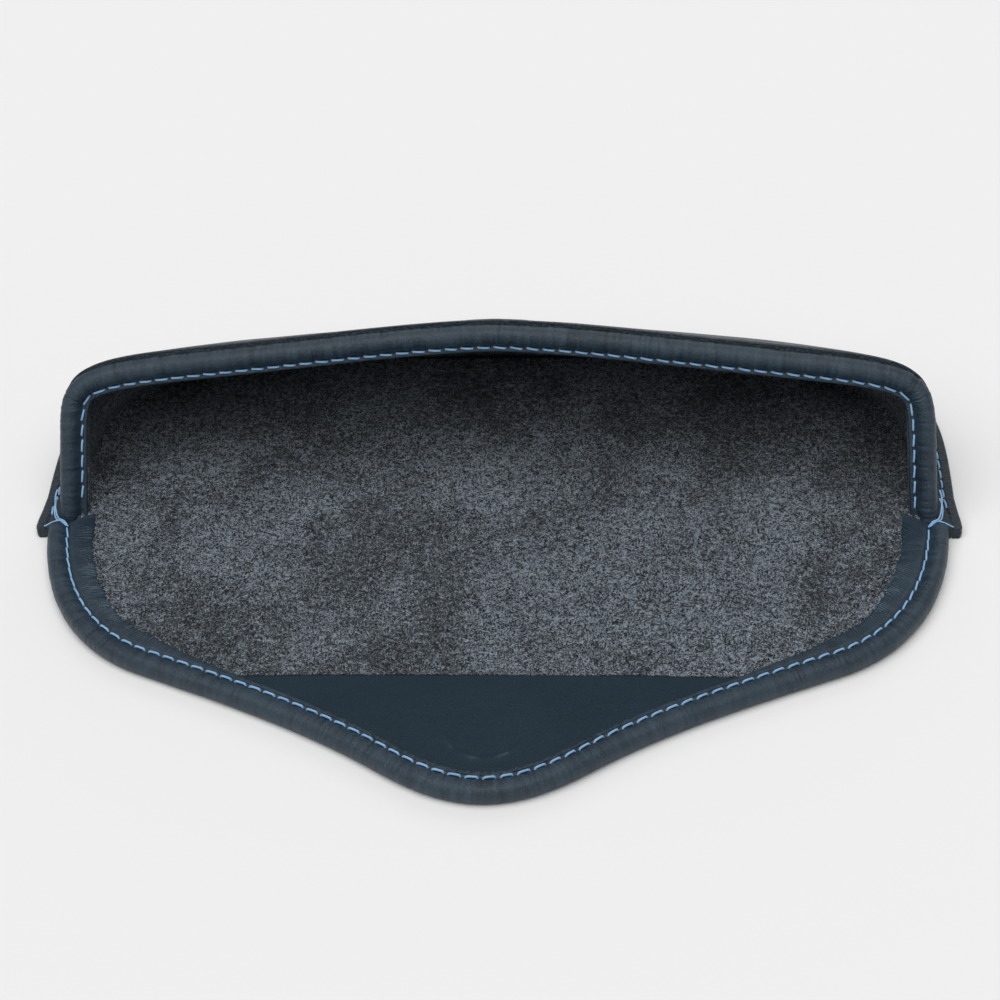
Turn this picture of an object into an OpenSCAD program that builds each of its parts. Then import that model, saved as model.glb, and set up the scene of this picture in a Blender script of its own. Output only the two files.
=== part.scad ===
// Soft leather spectacles case with a stiffened pouch and a magnetic flap.
// It lies on its back panel with the flap folded open flat.
// +X runs to the right, +Y from the hinge line to the pouch's closed end, +Z up.
// The origin is the middle of the flap's hinge line, on the resting plane. Millimetres.

/* [Overall] */
// Width over the seam flanges at the hinge line
case_w = 170; // [166:1:176]
// Flap length from the hinge line to its tip
flap_l = 71; // [69:1:73]
// Pouch depth from the hinge line to its closed end
pouch_d = 64; // [63:1:66]
// Height of the mouth's arch, measured along the mouth's own plane
mouth_h = 40; // [40:0.5:41]
// How far the mouth's plane leans back from upright, in degrees
mouth_lean = 20; // [19:0.5:21]
// Slope of the front panel behind the arch, in degrees
front_slope = 36; // [35:0.5:36.5]
// Distance from the hinge line to the flap's second fold
fold_y = 41.5; // [41:0.5:43]

/* [Layers] */
// Outer leather thickness
leather_t = 1.2; // [1.1:0.1:1.3]
// Stiffener board thickness
board_t = 1.3; // [1.3:0.1:1.4]
// Suede lining thickness
lining_t = 0.8; // [0.7:0.1:0.9]
// Leather facing thickness on the flap's tip, up to the lining's
facing_t = 0.8; // [0.6:0.1:0.8]

/* [Edges] */
// Width of the rolled edge outside its stitching
roll_w = 3.3; // [3.1:0.1:3.5]
// Thickness of the rolled edge
roll_h = 4.0; // [3.9:0.1:4.1]
// Diameter of the filler cord inside the rolled edge
cord_d = 1.8; // [1.4:0.1:1.9]
// Width of the turned-in strip inside the flap's stitching
strip_w = 4.3; // [3:0.1:5]
// Width of the seam flange around the pouch
seam_w = 4.0; // [4:0.1:4.4]

/* [Stitching] */
// Distance from one stitch to the next
stitch_pitch = 2.95; // [2.6:0.05:3.4]
// Length of the thread that shows in each stitch
stitch_l = 2.0; // [1.6:0.1:2.2]
// Thread diameter
thread_d = 0.4; // [0.3:0.05:0.4]

/* [Magnets] */
// Magnet diameter
magnet_d = 13; // [10:0.5:13]
// Magnet thickness
magnet_t = 1.0; // [0.8:0.05:1.0]
// Distance from the hinge line to the flap magnet's centre
magnet_y = 55.5; // [55:0.5:56.5]

/* [Hidden] */

navy = [0.13, 0.19, 0.24];
suede = [0.30, 0.33, 0.37];
board = [0.55, 0.50, 0.42];
thread = [0.50, 0.70, 0.90];
steel = [0.72, 0.73, 0.75];

gap = 0.3;          // clear space between neighbouring bodies
groove_w = 0.7;     // width of the groove that holds a row of stitches
groove_d = 0.35;    // its depth
under_d = thread_d + 0.02; // its depth underneath, where the thread stays off the table
fit_gap = 0.05;     // clearance round the parts inside the layers
sx = case_w / 170;
sy = flap_l / 70;
big = 400;

z_board = leather_t;
z_lining = leather_t + board_t;
z_strip = z_lining + lining_t;
strip_t = 0.6;
shell_t = leather_t + board_t + lining_t;

// ---- outlines in plan -------------------------------------------------------

function bez(c, t) = pow(1 - t, 3) * c[0] + 3 * t * pow(1 - t, 2) * c[1]
  + 3 * t * t * (1 - t) * c[2] + pow(t, 3) * c[3];

// Right half of the flap's outline, from the hinge line round to the middle of the tip.
flap_curves = [
  [[82.5, 0], [81.5, -14], [77, -31], [61, -38.5]],
  [[61, -38.5], [47, -45.1], [32, -52], [20, -61]],
  [[20, -61], [14.6, -65.1], [8, -70], [0, -70]]
];
flap_steps = 11;

function flap_point(c, i) = let (p = bez(flap_curves[c], i / flap_steps)) [p[0] * sx, p[1] * sy];

// The half outline starts a little behind the hinge line, so that inset copies still cross it.
flap_half = concat([[82.9 * sx, 4 * sy]],
  [for (c = [0:2]) for (i = [0:flap_steps - 1]) flap_point(c, i)],
  [[0, -70 * sy]]);

function mirror_x(half) = let (n = len(half))
  concat(half, [for (i = [n - 2:-1:0]) [-half[i][0], half[i][1]]]);

flap_outline = mirror_x(flap_half);

// Unit normals that point to the right of the direction of travel. Every outline here is
// listed so that they point inwards.
function path_normals(p) = let (n = len(p)) [for (i = [0:n - 1])
  let (d = p[min(i + 1, n - 1)] - p[max(i - 1, 0)]) [d[1], -d[0]] / norm(d)];

// A copy of an open path, moved inwards by d.
function inset(p, d) = let (m = path_normals(p)) [for (i = [0:len(p) - 1]) p[i] + m[i] * d];

// Distance along a path to each of its points.
function run(p) = let (seg = [for (i = [1:len(p) - 1]) norm(p[i] - p[i - 1])])
  [for (s = 0, i = 0; i <= len(seg); s = s + (i < len(seg) ? seg[i] : 0), i = i + 1) s];

// Point and direction at distance s along a path whose running distances are r.
function along(p, r, s) = let (
    k = max([for (i = [0:len(p) - 2]) if (r[i] <= s) i]),
    t = (s - r[k]) / (r[k + 1] - r[k]))
  [p[k] + t * (p[k + 1] - p[k]), (p[k + 1] - p[k]) / norm(p[k + 1] - p[k])];

module flap_plate(d, z0, z1, y0, y1)
  translate([0, 0, z0])
    linear_extrude(z1 - z0)
      intersection() {
        polygon(inset(flap_outline, d));
        translate([-big / 2, y1])
          square([big, y0 - y1]);
      }

// ---- the pouch's moulded front ----------------------------------------------

// The front is described from the foot of the rear plane of the mouth binding.
mouth_t = 4.0;
foot_z = leather_t;
foot_y = (mouth_t / cos(mouth_lean)) + foot_z * tan(mouth_lean);
mouth_be = 90 - mouth_lean;
side = case_w / 2 - seam_w - 0.8;
arch_h = mouth_h - 0.9 - foot_z / cos(mouth_lean);
roof_d = arch_h * sin(mouth_be + front_slope);
base_y = pouch_d - seam_w - foot_y;
end_d = pow(pow(base_y, -4.6) - pow(sin(front_slope) / roof_d, 4.6), -1 / 4.6);
arch_c = 0.78;      // how far the arch drops towards its corners
side_batter = 0.05; // how far the sides lean in

// How square the section is: crisp corners at the mouth, a softer dome behind it.
function squareness(be) = 4.6 + 8 * pow(be / mouth_be, 2);

// Distance from the foot to the surface, at angle ph round the arch in the plane tilted by be.
function front_r(ph, be) = let (
    x = (abs(cos(ph)) + side_batter * sin(ph) * sin(be)) / side,
    y = max(0, sin(ph) * cos(be)),
    z = max(0, sin(ph) * sin(be)),
    w = (z * cos(front_slope) + y * sin(front_slope)) / roof_d,
    drop = arch_c * (0.5 + 0.5 * be / mouth_be),
    roof = w * (1 + drop * pow(x / (x + w + 1e-9), 2)),
    p = squareness(be))
  pow(pow(x, p) + pow(y / end_d, p) + pow(roof, p), -1 / p);

function front_point(ph, be) = let (r = front_r(ph, be))
  [r * cos(ph), r * sin(ph) * cos(be), r * sin(ph) * sin(be)];

// Columns run round the arch, closer together at the corners.
cols = 44;
function half_angle(s) = 25 + 25.8 * (s - 0.4) + 229.2 * pow(s - 0.4, 3);
function col_angle(i) = let (s = 2 * i / cols)
  s <= 1 ? 180 - half_angle(s) : half_angle(2 - s);

// Rows run from the mouth to the seam. The inner layers stop short of the seam at the closed
// end, where the front and back meet in a thin wedge, so only the leather has the last rows.
rows = 13;
seam_rows = 3;
function wedge(ph) = 1.5 + 6 * pow(sin(ph), 2);
function row_angle(j, ph) = j <= rows
  ? mouth_be + (wedge(ph) - mouth_be) * (1 - pow(1 - j / rows, 1.35))
  : wedge(ph) * (rows + seam_rows - j) / seam_rows;

function ang(i, j) = let (ph = col_angle(i)) [ph, row_angle(j, ph)];

// Outward normal of the surface, by small differences.
function front_normal(a) = let (
    e = 0.4,
    ph = min(max(a[0], 0.8), 179.2),
    be = max(a[1], 0.5),
    du = front_point(ph + e, be) - front_point(ph - e, be),
    dv = front_point(ph, be + e) - front_point(ph, be - e),
    n = cross(du, dv))
  n / norm(n);

// The part of a normal that lies in the plane with unit normal m, lengthened so that a layer
// cut off by that plane keeps its thickness.
function in_plane(n, m) = let (f = n - (n * m) * m) f / (f * f);

mouth_m = [0, cos(mouth_lean), -sin(mouth_lean)];

// The point at depth d below the outer surface. The feet of the arch move straight inwards, the
// first row stays in the mouth's plane and the last row stays on the back leather.
function layer_point(i, j, d) = let (
    a = ang(i, j),
    n = front_normal(a),
    m = i == 0 ? [-1, 0, 0] : i == cols ? [1, 0, 0] : j == 0 ? in_plane(n, mouth_m)
      : a[1] < 0.01 ? in_plane(n, [0, 0, 1]) : n)
  front_point(a[0], a[1]) - d * m + [0, foot_y, foot_z];

last_row = rows + seam_rows;
face_grid = [for (j = [0:last_row]) [for (i = [0:cols]) layer_point(i, j, 0)]];
board_grid = [for (j = [0:last_row]) [for (i = [0:cols]) layer_point(i, j, leather_t)]];
lining_grid = [for (j = [0:last_row]) [for (i = [0:cols])
  layer_point(i, j, leather_t + board_t)]];
inner_grid = [for (j = [0:last_row]) [for (i = [0:cols]) layer_point(i, j, shell_t)]];

// One layer of the front: a closed skin between two grids, down to row n. The first and last
// columns of a grid are single points, at the feet of the arch.
module front_layer(outer, inner, n) {
  c = cols + 1;
  pts = concat([for (j = [0:n]) for (i = [0:cols]) outer[j][i]],
    [for (j = [0:n]) for (i = [0:cols]) inner[j][i]]);
  m = (n + 1) * c;
  function o(i, j) = (i == 0 || i == cols) ? i : j * c + i;
  function v(i, j) = m + o(i, j);
  skin = [for (j = [0:n - 1]) for (i = [0:cols - 1]) for (t = [
    [o(i, j), o(i, j + 1), o(i + 1, j)], [o(i + 1, j), o(i, j + 1), o(i + 1, j + 1)]]) t];
  back = [for (j = [0:n - 1]) for (i = [0:cols - 1]) for (t = [
    [v(i, j), v(i + 1, j), v(i, j + 1)], [v(i + 1, j), v(i + 1, j + 1), v(i, j + 1)]]) t];
  rim = [for (i = [0:cols - 1]) for (t = [
    [o(i, 0), o(i + 1, 0), v(i, 0)], [v(i, 0), o(i + 1, 0), v(i + 1, 0)],
    [o(i, n), v(i, n), o(i + 1, n)], [v(i, n), v(i + 1, n), o(i + 1, n)]]) t];
  faces = [for (t = concat(skin, back, rim))
    if (t[0] != t[1] && t[1] != t[2] && t[2] != t[0]) t];
  polyhedron(pts, faces);
}

// ---- the pouch's outline in plan --------------------------------------------

base_path = [for (i = [0:cols]) let (q = face_grid[last_row][i]) [q[0], q[1]]];
flange_curve = inset(base_path, -seam_w);
wing_x = case_w / 2;
pouch_outline = concat(
  [[0.6 - wing_x, gap / 2], [-wing_x, 1.4], [0.1 - wing_x, 3]],
  [for (i = [1:cols - 1]) flange_curve[i]],
  [[wing_x - 0.1, 3], [wing_x, 1.4], [wing_x - 0.6, gap / 2]]);

// The board and lining on the back lie inside the front's lining. They stay further away from it
// towards the closed end, where it slopes down over them.
floor_end = pouch_d - 11.5;
inner_path = [for (i = [0:cols]) let (q = inner_grid[last_row][i]) [q[0], q[1]]];
floor_curve = [for (i = [4:cols - 4]) let (q = inset(inner_path, 2 + 3 * sin(col_angle(i)))[i])
  [q[0], min(q[1], floor_end)]];

module pouch_plate(d, z0, z1)
  translate([0, 0, z0])
    linear_extrude(z1 - z0)
      polygon(d == 0 ? pouch_outline : inset(pouch_outline, d));

// The front edge of the floor lies in the mouth's plane, clear of the flap.
module floor_plate(z0, z1) {
  x = side - shell_t - 2.4;
  y = gap / 2 + z1 * tan(mouth_lean);
  translate([0, 0, z0])
    linear_extrude(z1 - z0)
      polygon(concat([[-x, y]], floor_curve, [[x, y]]));
}

// ---- swept edges and stitches ---------------------------------------------------

// A tube along a path in the XY plane: its section is centred at inset d and height z.
module edge_tube(path, d, z, w, h, k = 12) {
  c = inset(path, d);
  m = path_normals(path);
  n = len(path);
  sec = [for (a = [0:k - 1]) let (t = 360 * (a + 0.5) / k)
    [w / 2 * sign(cos(t)) * pow(abs(cos(t)), 0.75), h / 2 * sign(sin(t)) * pow(abs(sin(t)), 0.75)]];
  pts = [for (i = [0:n - 1]) for (s = sec) [c[i][0] + m[i][0] * s[0], c[i][1] + m[i][1] * s[0],
    z + s[1]]];
  walls = [for (i = [0:n - 2]) for (a = [0:k - 1]) let (b = (a + 1) % k) for (t = [
    [i * k + a, i * k + b, (i + 1) * k + a], [i * k + b, (i + 1) * k + b, (i + 1) * k + a]]) t];
  ends = [[for (a = [k - 1:-1:0]) a], [for (a = [0:k - 1]) (n - 1) * k + a]];
  polyhedron(pts, concat(walls, ends));
}

// A row of stitches along a path, at height z, between distances s0 and s1.
module stitch_row(path, z, s0, s1) {
  r = run(path);
  count = floor((s1 - s0) / stitch_pitch);
  for (i = [0:count - 1]) {
    a = along(path, r, s0 + (i + 0.5) * stitch_pitch);
    translate([a[0][0], a[0][1], z])
      rotate([0, 90, atan2(a[1][1], a[1][0])])
        cylinder(h = stitch_l, d = thread_d, center = true, $fn = 16);
  }
}

// ---- the mouth -----------------------------------------------------------------

// Mouth outline in the mouth's own plane, from its left foot over the arch to its right foot.
foot_rise = foot_z / cos(mouth_lean);
function mouth_point(ph) = let (r = front_r(ph, mouth_be)) [r * cos(ph) * (side + 0.5) / side,
  r * sin(ph) * (arch_h + 0.9) / arch_h + foot_rise];
mouth_path = concat([[-side - 0.5, foot_rise - 3]],
  [for (i = [0:cols]) mouth_point(col_angle(i))], [[side + 0.5, foot_rise - 3]]);

module in_mouth_plane()
  rotate([90 - mouth_lean, 0, 0])
    children();

// Keeps what is above the back leather.
module above_back()
  intersection() {
    children();
    translate([-big / 2, -big / 2, leather_t])
      cube([big, big, big]);
  }

mouth_lip = 1.0;
mouth_groove_d = roll_w + groove_w / 2;

module mouth_binding()
  color(navy)
    above_back()
      in_mouth_plane()
        difference() {
          union() {
            edge_tube(mouth_path, (roll_w + 0.3) / 2, -mouth_t / 2, roll_w + 0.3, mouth_t);
            translate([0, 0, -mouth_t])
              linear_extrude(mouth_t - 1.6)
                polygon(concat(inset(mouth_path, 1.6),
                  [for (i = [len(mouth_path) - 1:-1:0])
                    inset(mouth_path, roll_w + groove_w + mouth_lip)[i]]));
          }
          edge_tube(mouth_path, (roll_w + 0.3) / 2, -mouth_t / 2, cord_d + 2 * fit_gap,
            cord_d + 2 * fit_gap);
        }

module mouth_cord()
  color(board)
    above_back()
      in_mouth_plane()
        edge_tube(mouth_path, (roll_w + 0.3) / 2, -mouth_t / 2, cord_d, cord_d);

module mouth_stitching()
  color(thread) {
    p = inset(mouth_path, mouth_groove_d + 0.25);
    r = run(p);
    in_mouth_plane()
      stitch_row(p, -1.6 + thread_d / 2, 5.5, r[len(r) - 1] - 5.5);
  }

// ---- the pouch -----------------------------------------------------------------

module back_leather()
  color(navy)
    difference() {
      pouch_plate(0, 0, leather_t);
      difference() {
        pouch_plate(seam_w / 2 - groove_w / 2, -1, under_d);
        pouch_plate(seam_w / 2 + groove_w / 2, -2, 2);
        translate([-big / 2, -1, -5])
          cube([big, 3, 10]);
      }
    }

module back_board()
  color(board)
    floor_plate(z_board, z_lining);

module back_lining()
  color(suede)
    floor_plate(z_lining, z_strip);

flange_root = inset(base_path, 0.4);

module front_leather()
  color(navy)
    difference() {
      union() {
        front_layer(face_grid, board_grid, last_row);
        translate([0, 0, leather_t + 0.03])
          linear_extrude(leather_t - 0.03)
            polygon(concat(pouch_outline, [[side + 0.9, gap / 2], [side + 0.9, foot_y + 0.6]],
              [for (i = [cols - 1:-1:1]) flange_root[i]],
              [[-side - 0.9, foot_y + 0.6], [-side - 0.9, gap / 2]]));
      }
      difference() {
        pouch_plate(seam_w / 2 - groove_w / 2, 2 * leather_t - groove_d, 10);
        pouch_plate(seam_w / 2 + groove_w / 2, 0, 20);
        translate([-big / 2, -1, -5])
          cube([big, 3, 30]);
      }
    }

// Where the flap's magnet lands on the front when the flap is shut. The magnet there is smaller,
// because the panel curves over it.
front_magnet_d = magnet_d - 3;
land_s = 7.8;        // distance from the top of the arch, down the slope
land_be = atan2(arch_h * sin(mouth_be) - land_s * sin(front_slope),
  arch_h * cos(mouth_be) + land_s * cos(front_slope));

function land_point() = front_point(90, land_be);
function land_tilt() = let (e = 1, d = front_point(90, land_be - e) - front_point(90, land_be + e))
  atan2(-d[2], d[1]);

// Places its children on the front's outer surface, with +Z along the outward normal.
module on_front(depth)
  translate([0, foot_y + land_point()[1], foot_z + land_point()[2]])
    rotate([-land_tilt(), 0, 0])
      translate([0, 0, -depth])
        children();

module front_board()
  color(board)
    difference() {
      front_layer(board_grid, lining_grid, rows);
      on_front(z_strip + 2)
        cylinder(h = 20, d = front_magnet_d + 2 * fit_gap, $fn = 64);
    }

module front_lining()
  color(suede)
    front_layer(lining_grid, inner_grid, rows);

module front_magnet()
  color(steel)
    on_front(leather_t + 0.2 + magnet_t)
      cylinder(h = magnet_t, d = front_magnet_d, $fn = 64);

module front_magnet_disc()
  color(board)
    on_front(leather_t + 0.2 + magnet_t + 0.1)
      cylinder(h = 0.08, d = front_magnet_d, $fn = 64);

module seam_stitching()
  color(thread) {
    p = inset(pouch_outline, seam_w / 2);
    r = run(p);
    last = r[len(r) - 1];
    stitch_row(p, 2 * leather_t - groove_d + thread_d / 2, 4, last - 4);
    stitch_row(p, thread_d / 2 + 0.01, 4, last - 4);
  }

// Three bars of thread that tie the mouth binding's foot to the seam flange.
module corner_tack(s)
  color(thread)
    for (k = [0:2])
      translate([s * (side + 0.5 + thread_d), 1.9 + 0.8 * k, 2 * leather_t])
        rotate([-mouth_lean, 0, 0])
          cylinder(h = 4.5, d = thread_d, $fn = 16);

module corner_tack_left()
  corner_tack(-1);

module corner_tack_right()
  corner_tack(1);

// ---- the flap --------------------------------------------------------------------

flap_start = -gap / 2;
bridge_end = -fold_y + gap / 2;
tip_start = -fold_y - gap / 2;
tip_end = -flap_l - 5;
roll_in = roll_w + 0.1;
bend_hinge = 12;    // no board this close to the hinge line, where the leather bends
bend_fold = 7;      // nor this close to the second fold

module slab(y0, y1)
  translate([-big / 2, y1, -big / 2])
    cube([big, y0 - y1, big]);

module half_space(s)
  translate([s > 0 ? 0 : -big, -big / 2, -big / 2])
    cube([big, big, big]);

// Outer leather with the groove for the stitches that show underneath.
module flap_leather(y0, y1)
  color(navy) {
    flap_plate(roll_in, under_d, leather_t, y0, y1);
    flap_plate(roll_in + groove_w, 0, leather_t, y0, y1);
  }

// Rolled edge and the strip that it turns in to, stitched through the groove between them.
module flap_binding(y0, y1, strip)
  color(navy)
    intersection() {
      difference() {
        union() {
          edge_tube(flap_outline, roll_w / 2, roll_h / 2, roll_w, roll_h);
          difference() {
            union() {
              flap_plate(roll_w - 0.6, z_strip, z_strip + strip_t - groove_d, y0, y1);
              flap_plate(roll_in + groove_w, z_strip, z_strip + strip_t, y0, y1);
            }
            flap_plate(roll_in + groove_w + strip, 0, 20, y0 + 1, y1 - 1);
          }
        }
        edge_tube(flap_outline, roll_w / 2, roll_h / 2, cord_d + 2 * fit_gap,
          cord_d + 2 * fit_gap);
      }
      slab(y0, y1);
    }

module flap_cord(y0, y1)
  color(board)
    intersection() {
      edge_tube(flap_outline, roll_w / 2, roll_h / 2, cord_d, cord_d);
      slab(y0, y1);
    }

// Stitches above and below, for the stretch of the edge between two values of y.
module flap_stitches(y0, y1)
  color(thread) {
    p = inset(flap_outline, roll_in + groove_w / 2);
    r = run(p);
    n = floor(r[len(r) - 1] / stitch_pitch);
    for (i = [0:n - 1]) {
      a = along(p, r, (i + 0.5) * stitch_pitch);
      if (a[0][1] < y0 - stitch_l / 2 && a[0][1] > y1 + stitch_l / 2)
        for (z = [thread_d / 2 + 0.01, z_strip + strip_t - groove_d + thread_d / 2])
          translate([a[0][0], a[0][1], z])
            rotate([0, 90, atan2(a[1][1], a[1][0])])
              cylinder(h = stitch_l, d = thread_d, center = true, $fn = 16);
    }
  }

module bridge_leather()
  flap_leather(flap_start, bridge_end);

module bridge_board()
  color(board)
    flap_plate(roll_in + groove_w, z_board, z_lining, -bend_hinge, -fold_y + bend_fold);

module bridge_lining()
  color(suede)
    flap_plate(roll_in, z_lining, z_strip, flap_start, bridge_end);

module bridge_binding_left()
  intersection() {
    flap_binding(flap_start, bridge_end, strip_w);
    half_space(-1);
  }

module bridge_binding_right()
  intersection() {
    flap_binding(flap_start, bridge_end, strip_w);
    half_space(1);
  }

module bridge_cord_left()
  intersection() {
    flap_cord(flap_start, bridge_end);
    half_space(-1);
  }

module bridge_cord_right()
  intersection() {
    flap_cord(flap_start, bridge_end);
    half_space(1);
  }

module bridge_stitching()
  flap_stitches(flap_start, bridge_end);

module tip_leather()
  flap_leather(tip_start, tip_end);

module tip_board()
  color(board)
    difference() {
      flap_plate(roll_in + groove_w, z_board, z_lining, -fold_y - 5, tip_end);
      translate([0, -magnet_y, 0])
        cylinder(h = 10, d = magnet_d + 2 * fit_gap, $fn = 64);
    }

module tip_facing()
  color(navy)
    flap_plate(roll_in, z_lining, z_lining + min(facing_t, lining_t), tip_start, tip_end);

module tip_binding()
  flap_binding(tip_start, tip_end, 1.2);

module tip_cord()
  flap_cord(tip_start, tip_end);

module tip_stitching()
  flap_stitches(tip_start, tip_end);

module flap_magnet()
  color(steel)
    translate([0, -magnet_y, leather_t + 0.05])
      cylinder(h = magnet_t, d = magnet_d, $fn = 64);

module flap_magnet_disc()
  color(board)
    translate([0, -magnet_y, leather_t + 0.05 + magnet_t + 0.05])
      cylinder(h = 0.12, d = magnet_d, $fn = 64);

back_leather();
back_board();
back_lining();
front_leather();
front_board();
front_lining();
mouth_binding();
mouth_cord();
mouth_stitching();
seam_stitching();
corner_tack_left();
corner_tack_right();
front_magnet();
front_magnet_disc();
bridge_leather();
bridge_board();
bridge_lining();
bridge_binding_left();
bridge_binding_right();
bridge_cord_left();
bridge_cord_right();
bridge_stitching();
tip_leather();
tip_board();
tip_facing();
tip_binding();
tip_cord();
tip_stitching();
flap_magnet();
flap_magnet_disc();
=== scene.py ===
"""Looks of the leather spectacles case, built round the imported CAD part.

Lengths in this file are millimetres in the part's own frame, and turn into metres only when a
mesh is made. The shapes repeat the formulas of the CAD source, so every piece lies where its
CAD solid does.
"""

import math

import bpy
import numpy as np
from mathutils import Matrix, Vector


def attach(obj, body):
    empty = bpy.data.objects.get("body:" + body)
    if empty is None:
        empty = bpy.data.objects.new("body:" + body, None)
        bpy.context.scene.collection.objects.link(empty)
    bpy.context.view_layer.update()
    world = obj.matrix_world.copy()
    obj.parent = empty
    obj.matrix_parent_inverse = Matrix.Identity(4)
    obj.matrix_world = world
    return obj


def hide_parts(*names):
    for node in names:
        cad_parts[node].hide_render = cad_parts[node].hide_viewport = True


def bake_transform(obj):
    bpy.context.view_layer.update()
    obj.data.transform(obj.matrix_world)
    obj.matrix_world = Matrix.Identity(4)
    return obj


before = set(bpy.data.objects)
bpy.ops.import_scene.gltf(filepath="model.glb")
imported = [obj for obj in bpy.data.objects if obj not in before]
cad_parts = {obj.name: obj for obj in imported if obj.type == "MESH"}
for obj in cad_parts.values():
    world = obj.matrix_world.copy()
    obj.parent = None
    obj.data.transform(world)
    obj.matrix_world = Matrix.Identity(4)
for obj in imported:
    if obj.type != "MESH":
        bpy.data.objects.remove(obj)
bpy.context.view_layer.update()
MM = 0.001

# ---- sizes, as in the CAD source ----

CASE_W, FLAP_L, POUCH_D = 170.0, 71.0, 64.0
LEAN = math.radians(20.0)
SLOPE = math.radians(36.0)
FOLD_Y = -41.5
LEATHER, BOARD, LINING = 1.2, 1.3, 0.8
Z_LINING = LEATHER + BOARD
Z_TOP = Z_LINING + LINING  # upper face of the lining
ROLL_W, ROLL_H = 3.3, 4.0
SEAM_W = 4.0
PITCH = 2.95
EDGE_STEP, MOUTH_STEP = 0.135, 0.14  # between the rings of the rolls' meshes
LAND_DOWN = 7.8  # how far down the front the flap's magnet lands
STITCH_INSET = 3.75
MOUTH_T = 4.0
MAGNET_Y, MAGNET_R, FRONT_MAGNET_R = -55.5, 6.5, 5.0
SPLIT_Y = -20.0  # where the pieces that bend at the hinge end, and those of the fold begin

FOOT_Z = LEATHER
FOOT_Y = MOUTH_T / math.cos(LEAN) + FOOT_Z * math.tan(LEAN)
MOUTH_BE = math.pi / 2 - LEAN
SIDE = CASE_W / 2 - SEAM_W - 0.8
ARCH_H = 40.0 - 0.9 - FOOT_Z / math.cos(LEAN)
ROOF_D = ARCH_H * math.sin(MOUTH_BE + SLOPE)
BASE_Y = POUCH_D - SEAM_W - FOOT_Y
FRONT_P = 4.6  # how square the front is
END_D = (BASE_Y**-FRONT_P - (math.sin(SLOPE) / ROOF_D) ** FRONT_P) ** (-1 / FRONT_P)
FOOT_RISE = FOOT_Z / math.cos(LEAN)
UP = np.array([0, 0, 1.0])
REAR = np.array([0, math.cos(LEAN), -math.sin(LEAN)])  # straight back from the mouth's plane

# ---- small tools ----


def ease(x, a, b):
    """0 before a, 1 after b, smooth in between."""
    t = np.clip((np.asarray(x, float) - a) / (b - a), 0, 1)
    return t * t * (3 - 2 * t)


def bump_at(x, centre, width):
    """A smooth bump of height 1 at centre that fades out over width."""
    return 1 - ease(np.abs(np.asarray(x, float) - centre), 0, width)


def noise(x, y, seed=0):
    """Smooth repeatable noise between -1 and 1, with one feature to a unit."""
    x, y = np.broadcast_arrays(np.asarray(x, float), np.asarray(y, float))
    ix, iy = np.floor(x).astype(np.int64), np.floor(y).astype(np.int64)
    fx, fy = x - ix, y - iy
    fx, fy = fx * fx * (3 - 2 * fx), fy * fy * (3 - 2 * fy)

    def corner(i, j):
        h = (i * 374761393 + j * 668265263 + seed * 974634777) & 0xFFFFFFFF
        h = ((h ^ (h >> 13)) * 1274126177) & 0xFFFFFFFF
        return ((h ^ (h >> 16)) & 0xFFFF) / 32767.5 - 1

    low = corner(ix, iy) * (1 - fx) + corner(ix + 1, iy) * fx
    high = corner(ix, iy + 1) * (1 - fx) + corner(ix + 1, iy + 1) * fx
    return low * (1 - fy) + high * fy


def unit(v):
    return v / np.maximum(np.linalg.norm(v, axis=-1, keepdims=True), 1e-12)


def running(points):
    """Distance along a path to each of its points."""
    return np.r_[0, np.cumsum(np.linalg.norm(np.diff(points, axis=0), axis=1))]


def lookup(s, places, table):
    """Each column of a table, read at s between the places of its rows."""
    return np.stack([np.interp(s, places, column) for column in table.T], -1)


def along(points, s):
    """The points at distances s along a path."""
    return lookup(s, running(points), points)


def spline(points, n, closed=False, weights=None):
    """n points on a smooth curve through the given ones, denser where the weights are higher."""
    p = np.asarray(points, float)
    w = np.ones(len(p)) if weights is None else np.asarray(weights, float)
    if closed:
        p = np.vstack([p[-1:], p, p[:2]])
        w = np.r_[w[-1], w, w[:2]]
    else:
        p = np.vstack([2 * p[0] - p[1], p, 2 * p[-1] - p[-2]])
        w = np.r_[w[0], w, w[-1]]
    t = np.linspace(0, 1, 24, endpoint=False)[:, None]
    out, dense = [], []
    for a, b, c, d, wb, wc in zip(p, p[1:], p[2:], p[3:], w[1:], w[2:]):
        square, cube = 2 * a - 5 * b + 4 * c - d, 3 * b - a - 3 * c + d
        out.append(0.5 * (2 * b + (c - a) * t + square * t**2 + cube * t**3))
        dense.append(wb + (wc - wb) * t[:, 0])
    out = np.vstack(out + [p[-2:-1]])
    dense = np.r_[np.concatenate(dense), w[-2]]
    step = np.linalg.norm(np.diff(out, axis=0), axis=1) * (dense[1:] + dense[:-1]) / 2
    r = np.r_[0, np.cumsum(step)]
    s = np.linspace(0, r[-1], n + 1)[:-1] if closed else np.linspace(0, r[-1], n)
    return lookup(s, r, out)


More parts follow.
